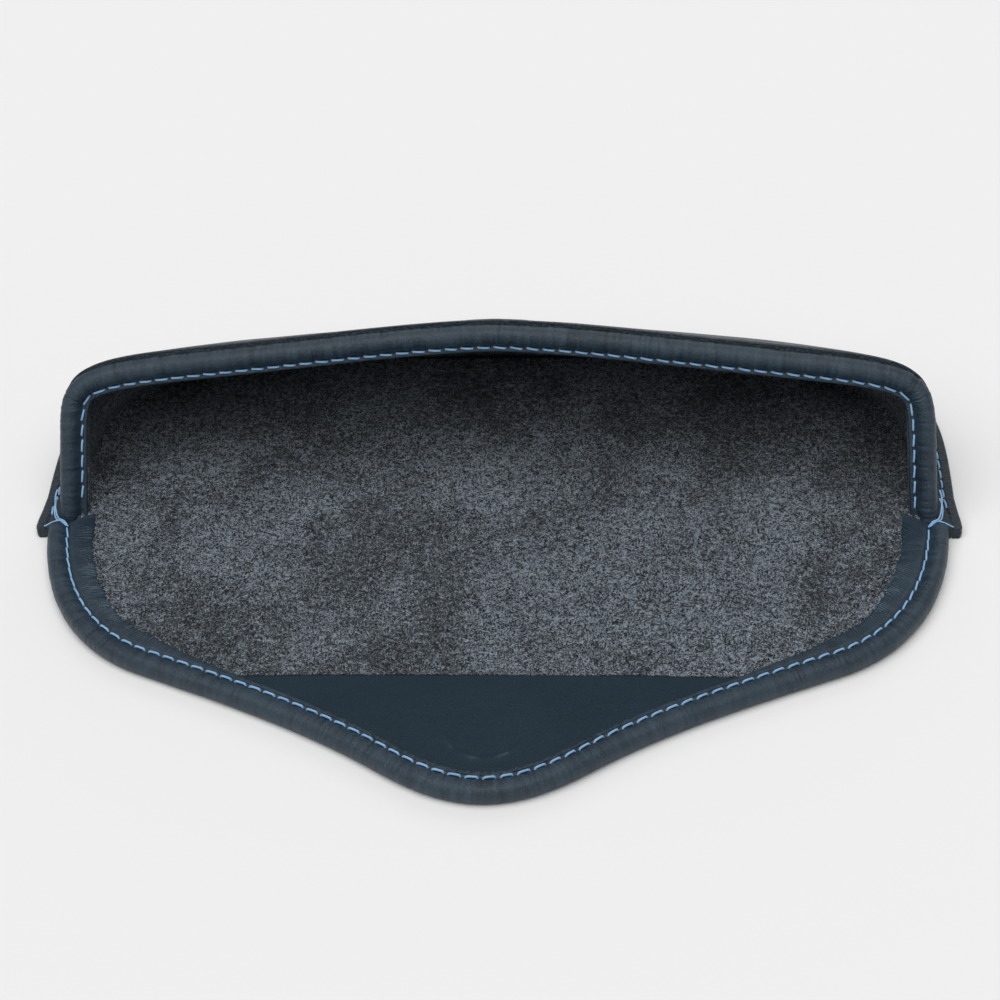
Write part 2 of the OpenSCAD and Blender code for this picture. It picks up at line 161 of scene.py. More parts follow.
class Edge:
    """A plane outline with smooth normals, which point to the right of its direction: inwards."""

    def __init__(self, points, step=0.1, soften=1.2):
        length = running(points)[-1]
        self.s = np.linspace(0, length, int(length / step) + 1)
        self.p = along(points, self.s)
        t = unit(np.gradient(self.p, axis=0))
        k = max(1, int(soften / step) // 2)
        pad = np.pad(t, ((k, k), (0, 0)), "edge")
        box = np.ones(2 * k + 1) / (2 * k + 1)
        t = unit(np.stack([np.convolve(pad[:, c], box, "valid") for c in (0, 1)], -1))
        self.t = t
        self.n = np.stack([t[:, 1], -t[:, 0]], -1)
        self.length = length

    def pick(self, table, s):
        return lookup(s, self.s, table)

    def at(self, s, d=0.0):
        """Points at distances s along the outline and d in from it."""
        return self.pick(self.p, s) + unit(self.pick(self.n, s)) * np.asarray(d)[..., None]

    def spot(self, place, d):
        """The point d in from one place of the outline, and the outline's direction there."""
        s = np.array([place])
        return self.at(s, d)[0], unit(self.pick(self.t, s))[0]

    def rings(self, s, d):
        """A row of points at distances d in from each of the places s."""
        return self.pick(self.p, s)[:, None] + unit(self.pick(self.n, s))[:, None] * d[..., None]

    def inset(self, d):
        return self.p + self.n * d

    def s_at_y(self, y, d=0.0):
        """Distance along the flap's outline to where its copy, moved in by d, crosses y."""
        half = len(self.s) // 2
        low = -self.inset(d)[:half, 1]
        keep = np.maximum.accumulate(low) == low
        return float(np.interp(-y, low[keep], self.s[:half][keep]))


def grid_quads(nu, nv, wrap_v=False, first=0):
    i, j = np.meshgrid(np.arange(nu - 1), np.arange(nv if wrap_v else nv - 1), indexing="ij")
    i, j = i.ravel(), j.ravel()
    m = (j + 1) % nv
    return first + np.stack([i * nv + j, (i + 1) * nv + j, (i + 1) * nv + m, i * nv + m], -1)


def weld(verts, quads):
    """Joins vertices that lie at the same place."""
    key = np.round(verts / 1e-4).astype(np.int64)
    _, first, back = np.unique(key, axis=0, return_index=True, return_inverse=True)
    return verts[first], np.asarray(back).reshape(-1)[quads]


def coons(low, high, left, right):
    """A patch that fills four curves: low and high run along u, left and right along v."""
    u = np.linspace(0, 1, len(low))[:, None, None]
    v = np.linspace(0, 1, len(left))[None, :, None]
    corners = (1 - u) * (1 - v) * low[0] + u * (1 - v) * low[-1]
    corners = corners + (1 - u) * v * high[0] + u * v * high[-1]
    return (1 - v) * low[:, None] + v * high[:, None] + (1 - u) * left[None] + u * right[None] - corners


def rim_edges(quads):
    """Edges that only one face uses, in that face's direction."""
    e = np.concatenate([quads[:, [a, (a + 1) % quads.shape[1]]] for a in range(quads.shape[1])])
    key = np.sort(e, axis=1)
    _, back, count = np.unique(key, axis=0, return_inverse=True, return_counts=True)
    return e[count[np.asarray(back).reshape(-1)] == 1]


def closed(top, low, quads):
    """A closed skin between two sheets that have the same quads."""
    n = len(top)
    e = rim_edges(quads)
    rim = np.stack([e[:, 1], e[:, 0], e[:, 0] + n, e[:, 1] + n], -1)
    return np.vstack([top, low]), np.vstack([quads, quads[:, ::-1] + n, rim])


def plate(xy, quads, low, high):
    """A closed plate over a flat quad mesh, between two heights at each vertex."""
    return closed(*(np.c_[xy, np.broadcast_to(z, len(xy))] for z in (high, low)), quads)


def shell(outer, inner):
    """A closed skin between two grids of points."""
    return closed(outer.reshape(-1, 3), inner.reshape(-1, 3), grid_quads(*outer.shape[:2]))


def raised(grid, z):
    """A flat grid of points, lifted to height z."""
    return np.concatenate([grid, np.broadcast_to(z, grid.shape[:2])[..., None]], -1)


def fans(m, k):
    """Triangles that close a tube of m rings of k points round two points added at the end."""
    a = np.arange(k)
    b = (a + 1) % k
    first = np.stack([np.full(k, m * k), a, b], -1)
    return np.vstack([first, np.stack([np.full(k, m * k + 1), (m - 1) * k + b, (m - 1) * k + a], -1)])


def tube(rings):
    """A closed tube through rings of points, with a rounded end on each side."""
    ends = []
    for ring, inner in ((rings[0], rings[1]), (rings[-1], rings[-2])):
        c = ring.mean(0)
        out = unit(c - inner.mean(0))
        size = np.linalg.norm(ring - c, axis=1).min()
        dome = [c + (ring - c) * math.cos(a) + out * size * 0.7 * math.sin(a) for a in (0.5, 1.0, 1.35)]
        ends.append(dome + [c + out * size * 0.7])
    body = np.concatenate([np.stack(ends[0][2::-1]), rings, np.stack(ends[1][:3])])
    verts = np.vstack([body.reshape(-1, 3), ends[0][3][None], ends[1][3][None]])
    m, k = body.shape[:2]
    return verts, grid_quads(m, k, wrap_v=True), fans(m, k)


def tube_flat(rings):
    """A closed tube through rings of points, with flat ends."""
    n, k = rings.shape[:2]
    verts = np.vstack([rings.reshape(-1, 3), rings[0].mean(0)[None], rings[-1].mean(0)[None]])
    return verts, grid_quads(n, k, wrap_v=True), fans(n, k)


def section_ring(table, count):
    """A rounded closed section: rows of distance in and height, and of its outward normals."""
    table = np.array(table)
    ring = spline(table[:, :2], count, closed=True, weights=table[:, 2])
    across = np.roll(ring, -1, 0) - np.roll(ring, 1, 0)
    normal = unit(np.stack([-across[:, 1], across[:, 0]], -1))
    if normal[np.argmin(ring[:, 0]), 0] > 0:
        normal = -normal
    return ring.T[:, None], normal.T[:, None]


class Build:
    """Collects the parts of one mesh."""

    def __init__(self):
        self.verts, self.quads, self.tris, self.tone, self.count = [], [], [], [], 0

    def add(self, verts, quads, tris=None, tone=None):
        """tone makes the material lighter where it is positive and darker where negative."""
        self.quads.append(quads + self.count)
        if tris is not None:
            self.tris.append(tris + self.count)
        self.verts.append(verts)
        self.tone.append(np.zeros(len(verts)) if tone is None else tone)
        self.count += len(verts)
        return self

    def object(self, name, material, sharp=50):
        verts = np.vstack(self.verts)
        quads = np.vstack(self.quads)
        tris = np.vstack([np.zeros((0, 3), int)] + self.tris)
        corners = np.vstack([tris, quads[:, :3], quads[:, [0, 2, 3]]])
        a, b, c = verts[corners[:, 0]], verts[corners[:, 1]], verts[corners[:, 2]]
        if np.einsum("ij,ij->i", a, np.cross(b, c)).sum() < 0:
            quads, tris = quads[:, ::-1], tris[:, ::-1]
        me = bpy.data.meshes.new(name)
        me.vertices.add(len(verts))
        me.vertices.foreach_set("co", (verts * MM).astype(np.float32).ravel())
        loops = np.concatenate([tris.ravel(), quads.ravel()]).astype(np.int32)
        me.loops.add(len(loops))
        me.loops.foreach_set("vertex_index", loops)
        starts = np.concatenate([np.arange(len(tris)) * 3, len(tris) * 3 + np.arange(len(quads)) * 4])
        me.polygons.add(len(starts))
        me.polygons.foreach_set("loop_start", starts.astype(np.int32))
        me.update(calc_edges=True)
        me.validate()
        rest = me.attributes.new("rest", "FLOAT_VECTOR", "POINT")
        rest.data.foreach_set("vector", verts.astype(np.float32).ravel())
        tone = me.attributes.new("tone", "FLOAT", "POINT")
        tone.data.foreach_set("value", np.concatenate(self.tone).astype(np.float32))
        me.shade_smooth()
        me.set_sharp_from_angle(angle=math.radians(sharp))
        me.materials.append(material)
        o = bpy.data.objects.new(name, me)
        bpy.context.scene.collection.objects.link(o)
        return o


def done(o, slot, nodes=(), body=None, bend=None):
    """Puts a finished piece on its body, or, for a piece of the hinge or the fold, only bakes its place
    into its mesh; and hides the CAD nodes that it replaces.
    """
    if bend == "hinge":
        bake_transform(o)
    elif bend == "fold":
        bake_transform(o)
    else:
        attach(o, body)
    if nodes:
        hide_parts(*nodes)
    return o


# ---- materials ----


class Look:
    """A material under construction. Its place is in millimetres, from the stored rest positions
    or, on a CAD node, from the object's own."""

    def __init__(self, name, on_cad=False):
        self.material = bpy.data.materials.new(name)
        self.material.use_nodes = True
        self.tree = self.material.node_tree
        if on_cad:
            place = self.node("TexCoord").outputs["Object"]
            sockets = {0: place, "Scale": 1000.0}
            self.place = self.node("VectorMath", sockets, operation="SCALE").outputs[0]
        else:
            self.place = self.node("Attribute", attribute_name="rest").outputs["Vector"]

    def node(self, kind, sockets=(), **values):
        n = self.tree.nodes.new("ShaderNode" + kind)
        for key, value in values.items():
            setattr(n, key, value)
        for key, value in dict(sockets).items():
            self.feed(n.inputs[key], value)
        return n

    def feed(self, socket, value):
        if isinstance(value, bpy.types.NodeSocket):
            self.tree.links.new(value, socket)
        else:
            socket.default_value = value

    def math(self, operation, a, b, c=0.5, clamp=False):
        return self.node("Math", {0: a, 1: b, 2: c}, operation=operation, use_clamp=clamp).outputs[0]

    def times(self, a, b):
        return self.math("MULTIPLY", a, b)

    def scaled_sum(self, a, b, c, clamp=False):
        """a times b, plus c."""
        return self.math("MULTIPLY_ADD", a, b, c, clamp)

    def mapping(self, source=None, scale=(1, 1, 1), turn=(0, 0, 0), shift=(0, 0, 0)):
        sockets = {"Vector": source or self.place, "Scale": scale, "Rotation": turn, "Location": shift}
        return self.node("Mapping", sockets).outputs[0]

    def noise(self, size, detail=2.0, source=None, rough=0.5, output="Fac"):
        """Noise with features about size millimetres across."""
        sockets = {"Vector": source or self.place, "Scale": 1 / size, "Detail": detail, "Roughness": rough}
        return self.node("TexNoise", sockets).outputs[output]

    def cells(self, size, source):
        """How far each place is from the edges of cells about size millimetres across."""
        sockets = {"Vector": source, "Scale": 1.0 / size}
        return self.node("TexVoronoi", sockets, feature="DISTANCE_TO_EDGE").outputs["Distance"]

    def span(self, value, low, high, to_low=0.0, to_high=1.0, smooth=True):
        sockets = {"Value": value, "From Min": low, "From Max": high, "To Min": to_low, "To Max": to_high}
        kind = "SMOOTHSTEP" if smooth else "LINEAR"
        return self.node("MapRange", sockets, interpolation_type=kind).outputs["Result"]

    def mix(self, amount, a, b):
        a, b = (c if isinstance(c, bpy.types.NodeSocket) else (*c, 1) for c in (a, b))
        return self.node("Mix", {"Factor": amount, "A": a, "B": b}, data_type="RGBA").outputs["Result"]

    def warp(self, size, amount):
        """The place, shaken by noise, so that cells don't look like cells."""
        sockets = {0: self.noise(size, output="Color"), 1: (amount, amount, amount), 2: self.place}
        return self.node("VectorMath", sockets, operation="MULTIPLY_ADD").outputs[0]

    def bump(self, height, depth, after=None):
        """depth is the height of the relief in millimetres."""
        sockets = {"Distance": depth * MM, "Height": height}
        if after is not None:
            sockets["Normal"] = after
        return self.node("Bump", sockets).outputs["Normal"]

    def finish(self, colour, roughness, normal, **fixed):
        s = self.tree.nodes["Principled BSDF"].inputs
        self.feed(s["Base Color"], colour)
        self.feed(s["Roughness"], roughness)
        self.feed(s["Normal"], normal)
        for name, value in fixed.items():
            s[name.replace("_", " ")].default_value = value
        return self.material


def leather(name, grain, depth, dark, light, rough, spec, sheen=0.0):
    """Leather with a pebbled grain about grain millimetres across."""
    k = Look(name)
    warped = k.warp(grain * 1.6, grain * 0.55)
    pebble = k.span(k.cells(grain, source=warped), 0.0, 0.32)
    fine = k.span(k.cells(grain * 0.42, source=k.warp(grain * 0.6, grain * 0.25)), 0.0, 0.3)
    soft = k.noise(grain * 5.0, 3.0)
    pore = k.noise(grain * 0.28, 3.0, rough=0.6)
    height = k.scaled_sum(fine, 0.35, k.times(pebble, 0.75))
    height = k.scaled_sum(pore, 0.3, height)
    normal = k.bump(height, depth)
    normal = k.bump(soft, depth * 2.2, after=normal)
    patches = k.noise(14.0, 3.0)
    worn = k.math("ADD", k.span(patches, 0.3, 0.7, 0.0, 0.6), k.times(soft, 0.4))
    tops = k.scaled_sum(pebble, 0.35, k.times(pore, 0.3))
    amount = k.scaled_sum(worn, 0.5, tops)
    tone = k.node("Attribute", attribute_name="tone").outputs["Fac"]
    amount = k.math("ADD", amount, tone)
    colour = k.mix(k.span(amount, 0.0, 1.0, smooth=False), dark, light)
    # Where the tone runs above 1 the colour goes lighter: painted highlight on pleat crests and on the
    # magnet ring's lower arc, and some rubbed wear on grain tops in worn patches.
    rubbed_and_highlight = k.span(amount, 1.0, 2.0, 0.0, 0.8)
    colour = k.mix(rubbed_and_highlight, colour, tuple(3.2 * v + 0.012 for v in light))
    # Where the tone runs below 0 the colour goes near black: painted shade in creases and pleat hollows.
    crease_shade = k.span(amount, -1.0, 0.0, 0.75, 0.0)
    colour = k.mix(crease_shade, colour, (0.0015, 0.0025, 0.004))
    roughness = k.scaled_sum(pore, 0.16, k.span(patches, 0.3, 0.7, rough - 0.1, rough + 0.02))
    gloss = {"Specular_IOR_Level": spec, "Sheen_Weight": sheen, "Sheen_Roughness": 0.35}
    return k.finish(colour, roughness, normal, **gloss)


def suede():
    """Short brushed fibres that lie in all directions, lighter and darker in broad patches."""
    k = Look("suede")
    shaken = k.mapping(k.warp(2.2, 0.7), (1.0, 0.72, 1.0))
    best = None
    for i, angle in enumerate((0.3, 0.93, 1.56, 2.2, 2.83)):
        turned = k.mapping(shaken, turn=(0, 0, angle))
        laid = k.mapping(turned, (1.0, 4.2, 2.2), shift=(7.3 * i, 3.1 * i, 0))
        here = k.noise(1.0, 1.0, k.mapping(None, shift=(13.0 * i, 5.0, 0)))
        strand = k.scaled_sum(here, 0.55, k.noise(0.72, 1.0, laid, 0.5))
        best = strand if best is None else k.math("MAXIMUM", best, strand)
    fibre = k.span(best, 0.83, 1.06)
    speck = k.span(k.noise(0.27, 1.0, shaken, 0.5), 0.36, 0.66)
    tuft = k.span(k.noise(1.5, 2.0, rough=0.6), 0.3, 0.7)
    broad = k.noise(17.0, 3.0, k.warp(12.0, 10.0), 0.55)
    patch = k.span(broad, 0.36, 0.64)
    amount = k.scaled_sum(speck, 0.42, k.times(fibre, 0.58))
    amount = k.times(amount, k.scaled_sum(tuft, 0.35, 0.72))
    amount = k.times(amount, k.scaled_sum(patch, 0.42, 0.74))
    colour = k.mix(k.span(amount, 0.10, 0.78), (0.008, 0.010, 0.014), (0.30, 0.355, 0.415))
    normal = k.bump(k.scaled_sum(speck, 0.5, fibre), 0.2)
    gloss = {"Specular_IOR_Level": 0.05, "Sheen_Weight": 0.12, "Sheen_Roughness": 0.5}
    return k.finish(colour, 0.95, normal, **gloss)


def thread_look():
    k = Look("thread")
    strand = k.noise(0.09, 2.0)
    tone = k.noise(3.0, 1.0)
    amount = k.scaled_sum(tone, 0.5, k.times(strand, 0.6), clamp=True)
    colour = k.mix(amount, (0.12, 0.26, 0.46), (0.36, 0.60, 0.88))
    return k.finish(colour, 0.6, k.bump(strand, 0.03), Specular_IOR_Level=0.3, Sheen_Weight=0.15)


def board_look():
    k = Look("board", on_cad=True)
    pulp = k.noise(0.5, 4.0, rough=0.7)
    flecks = k.span(k.noise(0.25, 2.0, k.mapping(None, (1.0, 0.25, 1.0))), 0.55, 0.7)
    amount = k.scaled_sum(flecks, 0.35, k.times(pulp, 0.7), clamp=True)
    colour = k.mix(amount, (0.13, 0.12, 0.105), (0.36, 0.33, 0.28))
    return k.finish(colour, 0.9, k.bump(pulp, 0.08), Specular_IOR_Level=0.2)


def steel_look():
    k = Look("steel", on_cad=True)
    fine = k.noise(0.4, 4.0, k.mapping(None, (1.0, 14.0, 1.0)))
    colour = k.mix(fine, (0.42, 0.43, 0.45), (0.66, 0.67, 0.69))
    roughness = k.span(fine, 0.2, 0.8, 0.22, 0.42)
    return k.finish(colour, roughness, k.bump(fine, 0.01), Metallic=1.0)


def cord_look():
    k = Look("filler_cord")
    fibre = k.noise(0.3, 3.0, k.mapping(None, (3.0, 1.0, 3.0)))
    colour = k.mix(fibre, (0.20, 0.185, 0.16), (0.46, 0.43, 0.38))
    return k.finish(colour, 0.9, k.bump(fibre, 0.08), Specular_IOR_Level=0.1)


PEBBLED = leather(
    "leather_outer", 0.95, 0.12, (0.010, 0.018, 0.026), (0.026, 0.040, 0.054), 0.5, spec=0.3, sheen=0.15
)
# The edge leather's colours are raised to match the rolls' highlights: its own tone, lifted by painted
# highlight.
SMOOTH = leather(
    "leather_edge", 0.55, 0.05, (0.008, 0.019, 0.032), (0.027, 0.051, 0.075), 0.42, spec=0.45
)
FACED = leather(
    "leather_facing", 0.6, 0.07, (0.010, 0.023, 0.035), (0.019, 0.035, 0.050), 0.5, spec=0.15
)
SUEDE = suede()
THREAD = thread_look()
FIBREBOARD = board_look()
STEEL = steel_look()
CORD = cord_look()

# ---- the flap's outline ----


def flap_edge():
    sx, sy = CASE_W / 170, FLAP_L / 70
    curves = [
        [(82.5, 0), (81.5, -14), (77, -31), (61, -38.5)],
        [(61, -38.5), (47, -45.1), (32, -52), (20, -61)],
        [(20, -61), (14.6, -65.1), (8, -70), (0, -70)],
    ]
    t = np.linspace(0, 1, 300)[:, None]
    half = [np.array([[82.9, 4.0]])]
    for c in np.array(curves, float):
        early, late = 3 * t * (1 - t) ** 2, 3 * t * t * (1 - t)
        half.append(((1 - t) ** 3 * c[0] + early * c[1] + late * c[2] + t**3 * c[3])[:-1])
    half = np.vstack(half + [np.array([[0.0, -70.0]])]) * [sx, sy]
    return Edge(np.vstack([half, half[-2::-1] * [-1, 1]]))


FLAP = flap_edge()
S_START = FLAP.s_at_y(0.1)  # where the right-hand roll begins
S_END = FLAP.length - S_START
S_SPLIT = FLAP.s_at_y(SPLIT_Y)


def strip_width(s):
    """Width of the turned-in strip inside the stitches, which narrows over the shoulders."""
    side = np.minimum(s, FLAP.length - s)
    y = FLAP.pick(FLAP.p, side)[..., 1]
    x = FLAP.pick(FLAP.p, side)[..., 0]
    wide = 4.65 - 0.9 * ease(-y, 18, 34) - 1.6 * ease(-x, -66, -52)
    return wide - 0.75 * ease(-x, -54, -44)


def stitch_places(edge, d):
    """Distances along an outline to stitches that are spaced evenly on its inset copy."""
    r = running(edge.inset(d))
    return np.interp((np.arange(int(r[-1] / PITCH)) + 0.5) * PITCH, r, edge.s)


FLAP_STITCHES = stitch_places(FLAP, STITCH_INSET)


def nearest_stitch(s, places):
    """0 at a stitch's middle, 1 half way to the next."""
    k = np.interp(s, places, np.arange(len(places)))
    return np.abs(k - np.round(k)) * 2


# ---- stitches ----


def sweep(points, radius, up, k=9, plies=3, lay_length=1.15, twist=0.07):
    """A twisted thread along a path. up is a direction roughly across it."""
    t = unit(np.gradient(points, axis=0))
    side = unit(np.cross(t, up))
    top = np.cross(side, t)
    s = running(points)[:, None]
    a = np.linspace(0, 2 * math.pi, k, endpoint=False)[None, :]
    r = radius * (1 + twist * np.cos(plies * a - 2 * math.pi * s / lay_length))
    across, above = (r * np.cos(a))[..., None], (r * np.sin(a))[..., None]
    return points[:, None] + side[:, None] * across + top[:, None] * above


def one_stitch(build, centre, direction, up, length, radius=0.2, slant=0.0, arch=0.02, dip=0.45):
    """A stitch that rises out of one hole and sinks into the next."""
    side = np.cross(up, direction)
    direction = direction * math.cos(slant) + side * math.sin(slant)
    x = np.sin(np.linspace(-math.pi / 2, math.pi / 2, 13))
    rise = arch * (1 - x**2) - dip * np.abs(x) ** 11
    points = centre + np.outer(x * length / 2, direction) + np.outer(rise, up)
    build.add(*tube(sweep(points, radius, up)))


def filler_cord(name, points, up, node, **place):
    rings = sweep(points, 0.85, up, k=14, plies=3, lay_length=6.0)
    done(Build().add(*tube(rings)).object(name, CORD), "filler_cord", [node], **place)


def flap_stitch_row(build, s0, s1):
    rng = np.random.default_rng(5)
    for i, s in enumerate(FLAP_STITCHES):
        jitter = rng.uniform(-1, 1, 3)
        if not s0 <= s < s1:
            continue
        p, t = FLAP.spot(s, STITCH_INSET)
        d = np.array([*t, 0])
        near = 1 - ease(min(s, FLAP.length - s), 8, 34)
        length = 2.05 + 0.62 * near + 0.08 * jitter[0]
        over, under = np.array([*p, 3.6 - 0.05 * near]), np.array([*p, 0.27])
        slant, back = math.radians(4 + 2.5 * jitter[1]), math.radians(-5)
        one_stitch(build, over, d, UP, length, radius=0.21 - 0.035 * near, slant=slant)
        one_stitch(build, under, d, -UP, 2.0 + 0.08 * jitter[2], slant=back, arch=0.04, dip=0.3)


# ---- the flap's rolled edge ----

# Section of the edge, as distance in from the outline and height: the roll, the stitched
# groove, the strip that lies on the lining, and the hidden underside of both.
EDGE_SECTION = [
    (3.62, 0.75, 0.5), (3.35, 0.42, 1), (2.75, 0.10, 1), (1.7, 0.0, 0.8), (0.8, 0.22, 0.8),
    (0.2, 0.95, 0.9), (0.0, 2.0, 1), (0.2, 3.02, 1), (0.8, 3.74, 1), (1.65, 3.99, 1),
    (2.45, 3.9, 1.1), (3.05, 3.66, 1.3), (3.45, 3.42, 1.6), (3.75, 3.3, 1.6), (4.05, 3.42, 1.6),
    (4.4, 3.66, 1.4), (4.9, 3.76, 1), (6.0, 3.74, 0.9), (7.3, 3.66, 0.9), (8.05, 3.56, 1.2),
    (8.36, 3.42, 1.4), (8.4, 3.26, 1), (8.1, 3.12, 0.4), (6.2, 3.05, 0.25), (4.3, 2.9, 0.25),
    (3.75, 2.2, 0.25), (3.6, 1.4, 0.25),
]


def edge_rings(s):
    """Rings of the flap's edge at distances s along the outline, their tone, and how far in from
    the outline each point of the section is."""
    (d, z), (out_d, out_z) = section_ring(EDGE_SECTION, 68)
    s2 = s[:, None]
    width = strip_width(s)[:, None]
    strip = ease(d, 4.0, 4.6) * (z > 2.95)  # the part that lies on the lining
    inner = np.clip((d - 4.2) / 4.2, 0, 1)
    d_now = np.where(d > 4.2, 4.2 + inner * (width - 0.45), d)
    top = strip * (z > 3.2)
    side = np.minimum(s, FLAP.length - s)
    y = FLAP.pick(FLAP.p, side)[:, 1][:, None]
    x = FLAP.pick(FLAP.p, side)[:, 0][:, None]

    # Fine pleats across the strip, which fan out towards its inner edge and are deepest where
    # the edge bends.
    bend = 0.4 + 0.6 * bump_at(y, -26, 20)
    phase = (s2 + 0.30 * noise(s2 / 1.3, d_now / 2.6, 3) + 0.30 * (d_now - 4)) / 0.62
    ridge = np.cos(2 * math.pi * phase)
    strength = np.clip(0.55 + 0.75 * noise(s2 / 1.1, d_now / 2.4, 4), 0, 1) * ease(d_now, 4.2, 6.0)
    pleat = top * bend * ridge * strength
    uneven = 0.05 * noise(s2 / 1.7, d_now / 2.2, 6) + 0.06 * noise(s2 / 6, d_now / 3, 7)
    h = 0.12 * pleat + top * uneven
    # The pleats are also painted: painted highlight on their crests and painted shade in their hollows,
    # strongest towards the strip's inner edge.
    tone = 1.7 * pleat * ease(d_now, 4.4, 6.4) + 0.25 * top * noise(s2 / 0.5, d_now / 2.5, 5)
    # A ragged inner edge.
    ragged = 0.16 * noise(s2 / 0.45, 0 * d, 12) + 0.12 * noise(s2 / 1.9, 0 * d, 13)
    d_now = d_now + (d > 7.4) * ragged * (width > 2.4)

    # Round the tip the strip is narrow and rough, and creases cut across the stitching.
    rough = top * ease(-x, -40, -24)
    h += rough * (0.10 * noise(s2 / 0.55, d_now / 0.5, 14) + 0.05 * noise(s2 / 0.28, d_now / 0.3, 15))
    tone = tone + rough * (0.30 * noise(s2 / 0.4, d_now / 0.35, 16) - 0.12)
    for k, at in enumerate(FLAP_STITCHES):
        from_mid = abs(at - FLAP.length / 2)
        if from_mid > 24:
            continue
        for m in range(2):
            place = at + PITCH * (0.5 + 0.22 * float(noise(3.7 * k, m, 17)))
            reach = (0.25 + 0.75 * abs(float(noise(1.3 * k + 0.5, m, 18)))) * (1 - from_mid / 30)
            lean = 0.25 * float(noise(2.9 * k, m, 19))
            cut = np.exp(-(((s2 - place - lean * (d - 3.75)) / 0.10) ** 2)) * reach
            cut = cut * bump_at(d, 3.9, 2.0) * (z > 3)
            h -= 0.16 * cut
            # Painted shade: these creases are also made darker.
            tone = tone - 1.6 * cut

    # The roll: soft undulation and faint wrinkles round it, and puckers at the stitches.
    roll = 1 - ease(d, 3.2, 3.9)
    angle = np.arctan2(z - 2.0, 1.65 - d)
    h += roll * 0.05 * noise(s2 / 7, angle / 1.4, 8)
    streak = noise(s2 / 0.42, angle / 1.9, 9) + 0.6 * noise(s2 / 0.9, angle / 1.2, 20)
    h += roll * 0.045 * streak * (0.65 + 0.35 * noise(s2 / 5, 0 * angle, 10))
    tone = tone + roll * 0.3 * streak
    creases = np.clip(noise(s2 / 0.7, angle / 2.2, 11) - 0.45, 0, 1)
    h -= roll * 0.12 * creases * (z > 1.2)
    # Painted shade: the roll is also made darker in its creases.
    tone = tone - roll * 0.5 * creases * (z > 1.2)
    away = nearest_stitch(s, FLAP_STITCHES)[:, None]
    beside = bump_at(d, 3.0, 0.9) + bump_at(d, 4.7, 0.8)
    h += (z > 3) * beside * 0.055 * (ease(away, 0.2, 0.9) - 0.5)
    h -= (z > 3) * bump_at(d, 3.75, 0.55) * 0.12 * ease(away, 0.62, 1.0)

    z_out = np.maximum(z + out_z * h, 0)
    return raised(FLAP.rings(s, d_now + out_d * h), z_out), tone, d_now


def edge_piece(name, s0, s1, nodes, bend):
    s = np.linspace(s0, s1, int((s1 - s0) / EDGE_STEP) + 1)
    rings, tone, d = edge_rings(s)
    # At the hinge the ends are cut straight across, and the strip runs on into the mouth.
    for end, hinge in ((0, s0 < 6), (-1, s1 > FLAP.length - 6)):
        if hinge:
            wanted = 0.12 + 2.9 * np.clip((d[end] - 4.3) / 4.0, 0, 1)
            fade = 1 - ease(np.abs(s - s[end]), 0, 9)
            rings[..., 1] += (wanted - rings[end, :, 1])[None] * fade[:, None]
    o = Build().add(*tube_flat(rings), tone=np.r_[tone.ravel(), 0, 0]).object(name, SMOOTH)
    return done(o, "edge_leather", nodes, bend=bend)


def build_flap_edges():
    back = FLAP.length - S_SPLIT
    sides = (
        ("right", S_START, S_SPLIT, "hinge", "bridge_%s_right"),
        ("left", back, S_END, "hinge", "bridge_%s_left"),
        ("tip", S_SPLIT, back, "fold", "tip_%s"),
    )
    for side, s0, s1, bend, node in sides:
        edge_piece("flap_edge_" + side, s0, s1, [node % "binding"], bend)
    stitched = {"right": ["bridge_stitching"], "left": [], "tip": ["tip_stitching"]}
    for side, s0, s1, bend, node in sides:
        b = Build()
        flap_stitch_row(b, s0 + (side == "right"), s1 - (side == "left"))
        done(b.object("flap_stitches_" + side, THREAD, 80), "blue_thread", stitched[side], bend=bend)
    for side, s0, s1, bend, node in sides:
        s = np.arange(s0 + 0.8 * (side == "right"), s1 - 0.8 * (side == "left"), 0.5)
        p = np.c_[FLAP.at(s, ROLL_W / 2), np.full(len(s), ROLL_H / 2)]
        filler_cord("filler_cord_" + side, p, UP, node % "cord", bend=bend)


# ---- flat parts of the flap ----


def flap_half_width(y, d):
    """Half width of the flap's outline, moved in by d, at each y."""
    half = len(FLAP.s) // 2
    p = FLAP.inset(d)[:half]
    keep = np.maximum.accumulate(-p[:, 1]) == -p[:, 1]
    return np.interp(-np.asarray(y, float), -p[keep, 1], p[keep, 0])


def rows_of(y, half_width, u):
    """A grid of points in rows across the case, at the shares u of its half width."""
    return np.stack(np.broadcast_arrays(u[None, :] * half_width[:, None], y[:, None]), -1)


def edge_spread(width, band, n_band, n_mid):
    """Places across from -1 to 1, closer together in a band along both edges."""
    b = 1 - band / width
    left = np.linspace(-1, -b, n_band)
    return np.r_[left, np.linspace(-b, b, n_mid)[1:-1], -left[::-1]]


def suede_height(x, y):
    """Gentle hollows of the lining."""
    h = 0.10 * noise(x / 17, y / 15, 21) + 0.05 * noise(x / 6, y / 6, 22)
    return h + 0.035 * noise(x / 2.1, y / 2.1, 23)


def skin_height(x, y):
    """Gentle swells of the outer leather's underside."""
    return 0.03 * (1 + noise(x / 9, y / 9, 51))


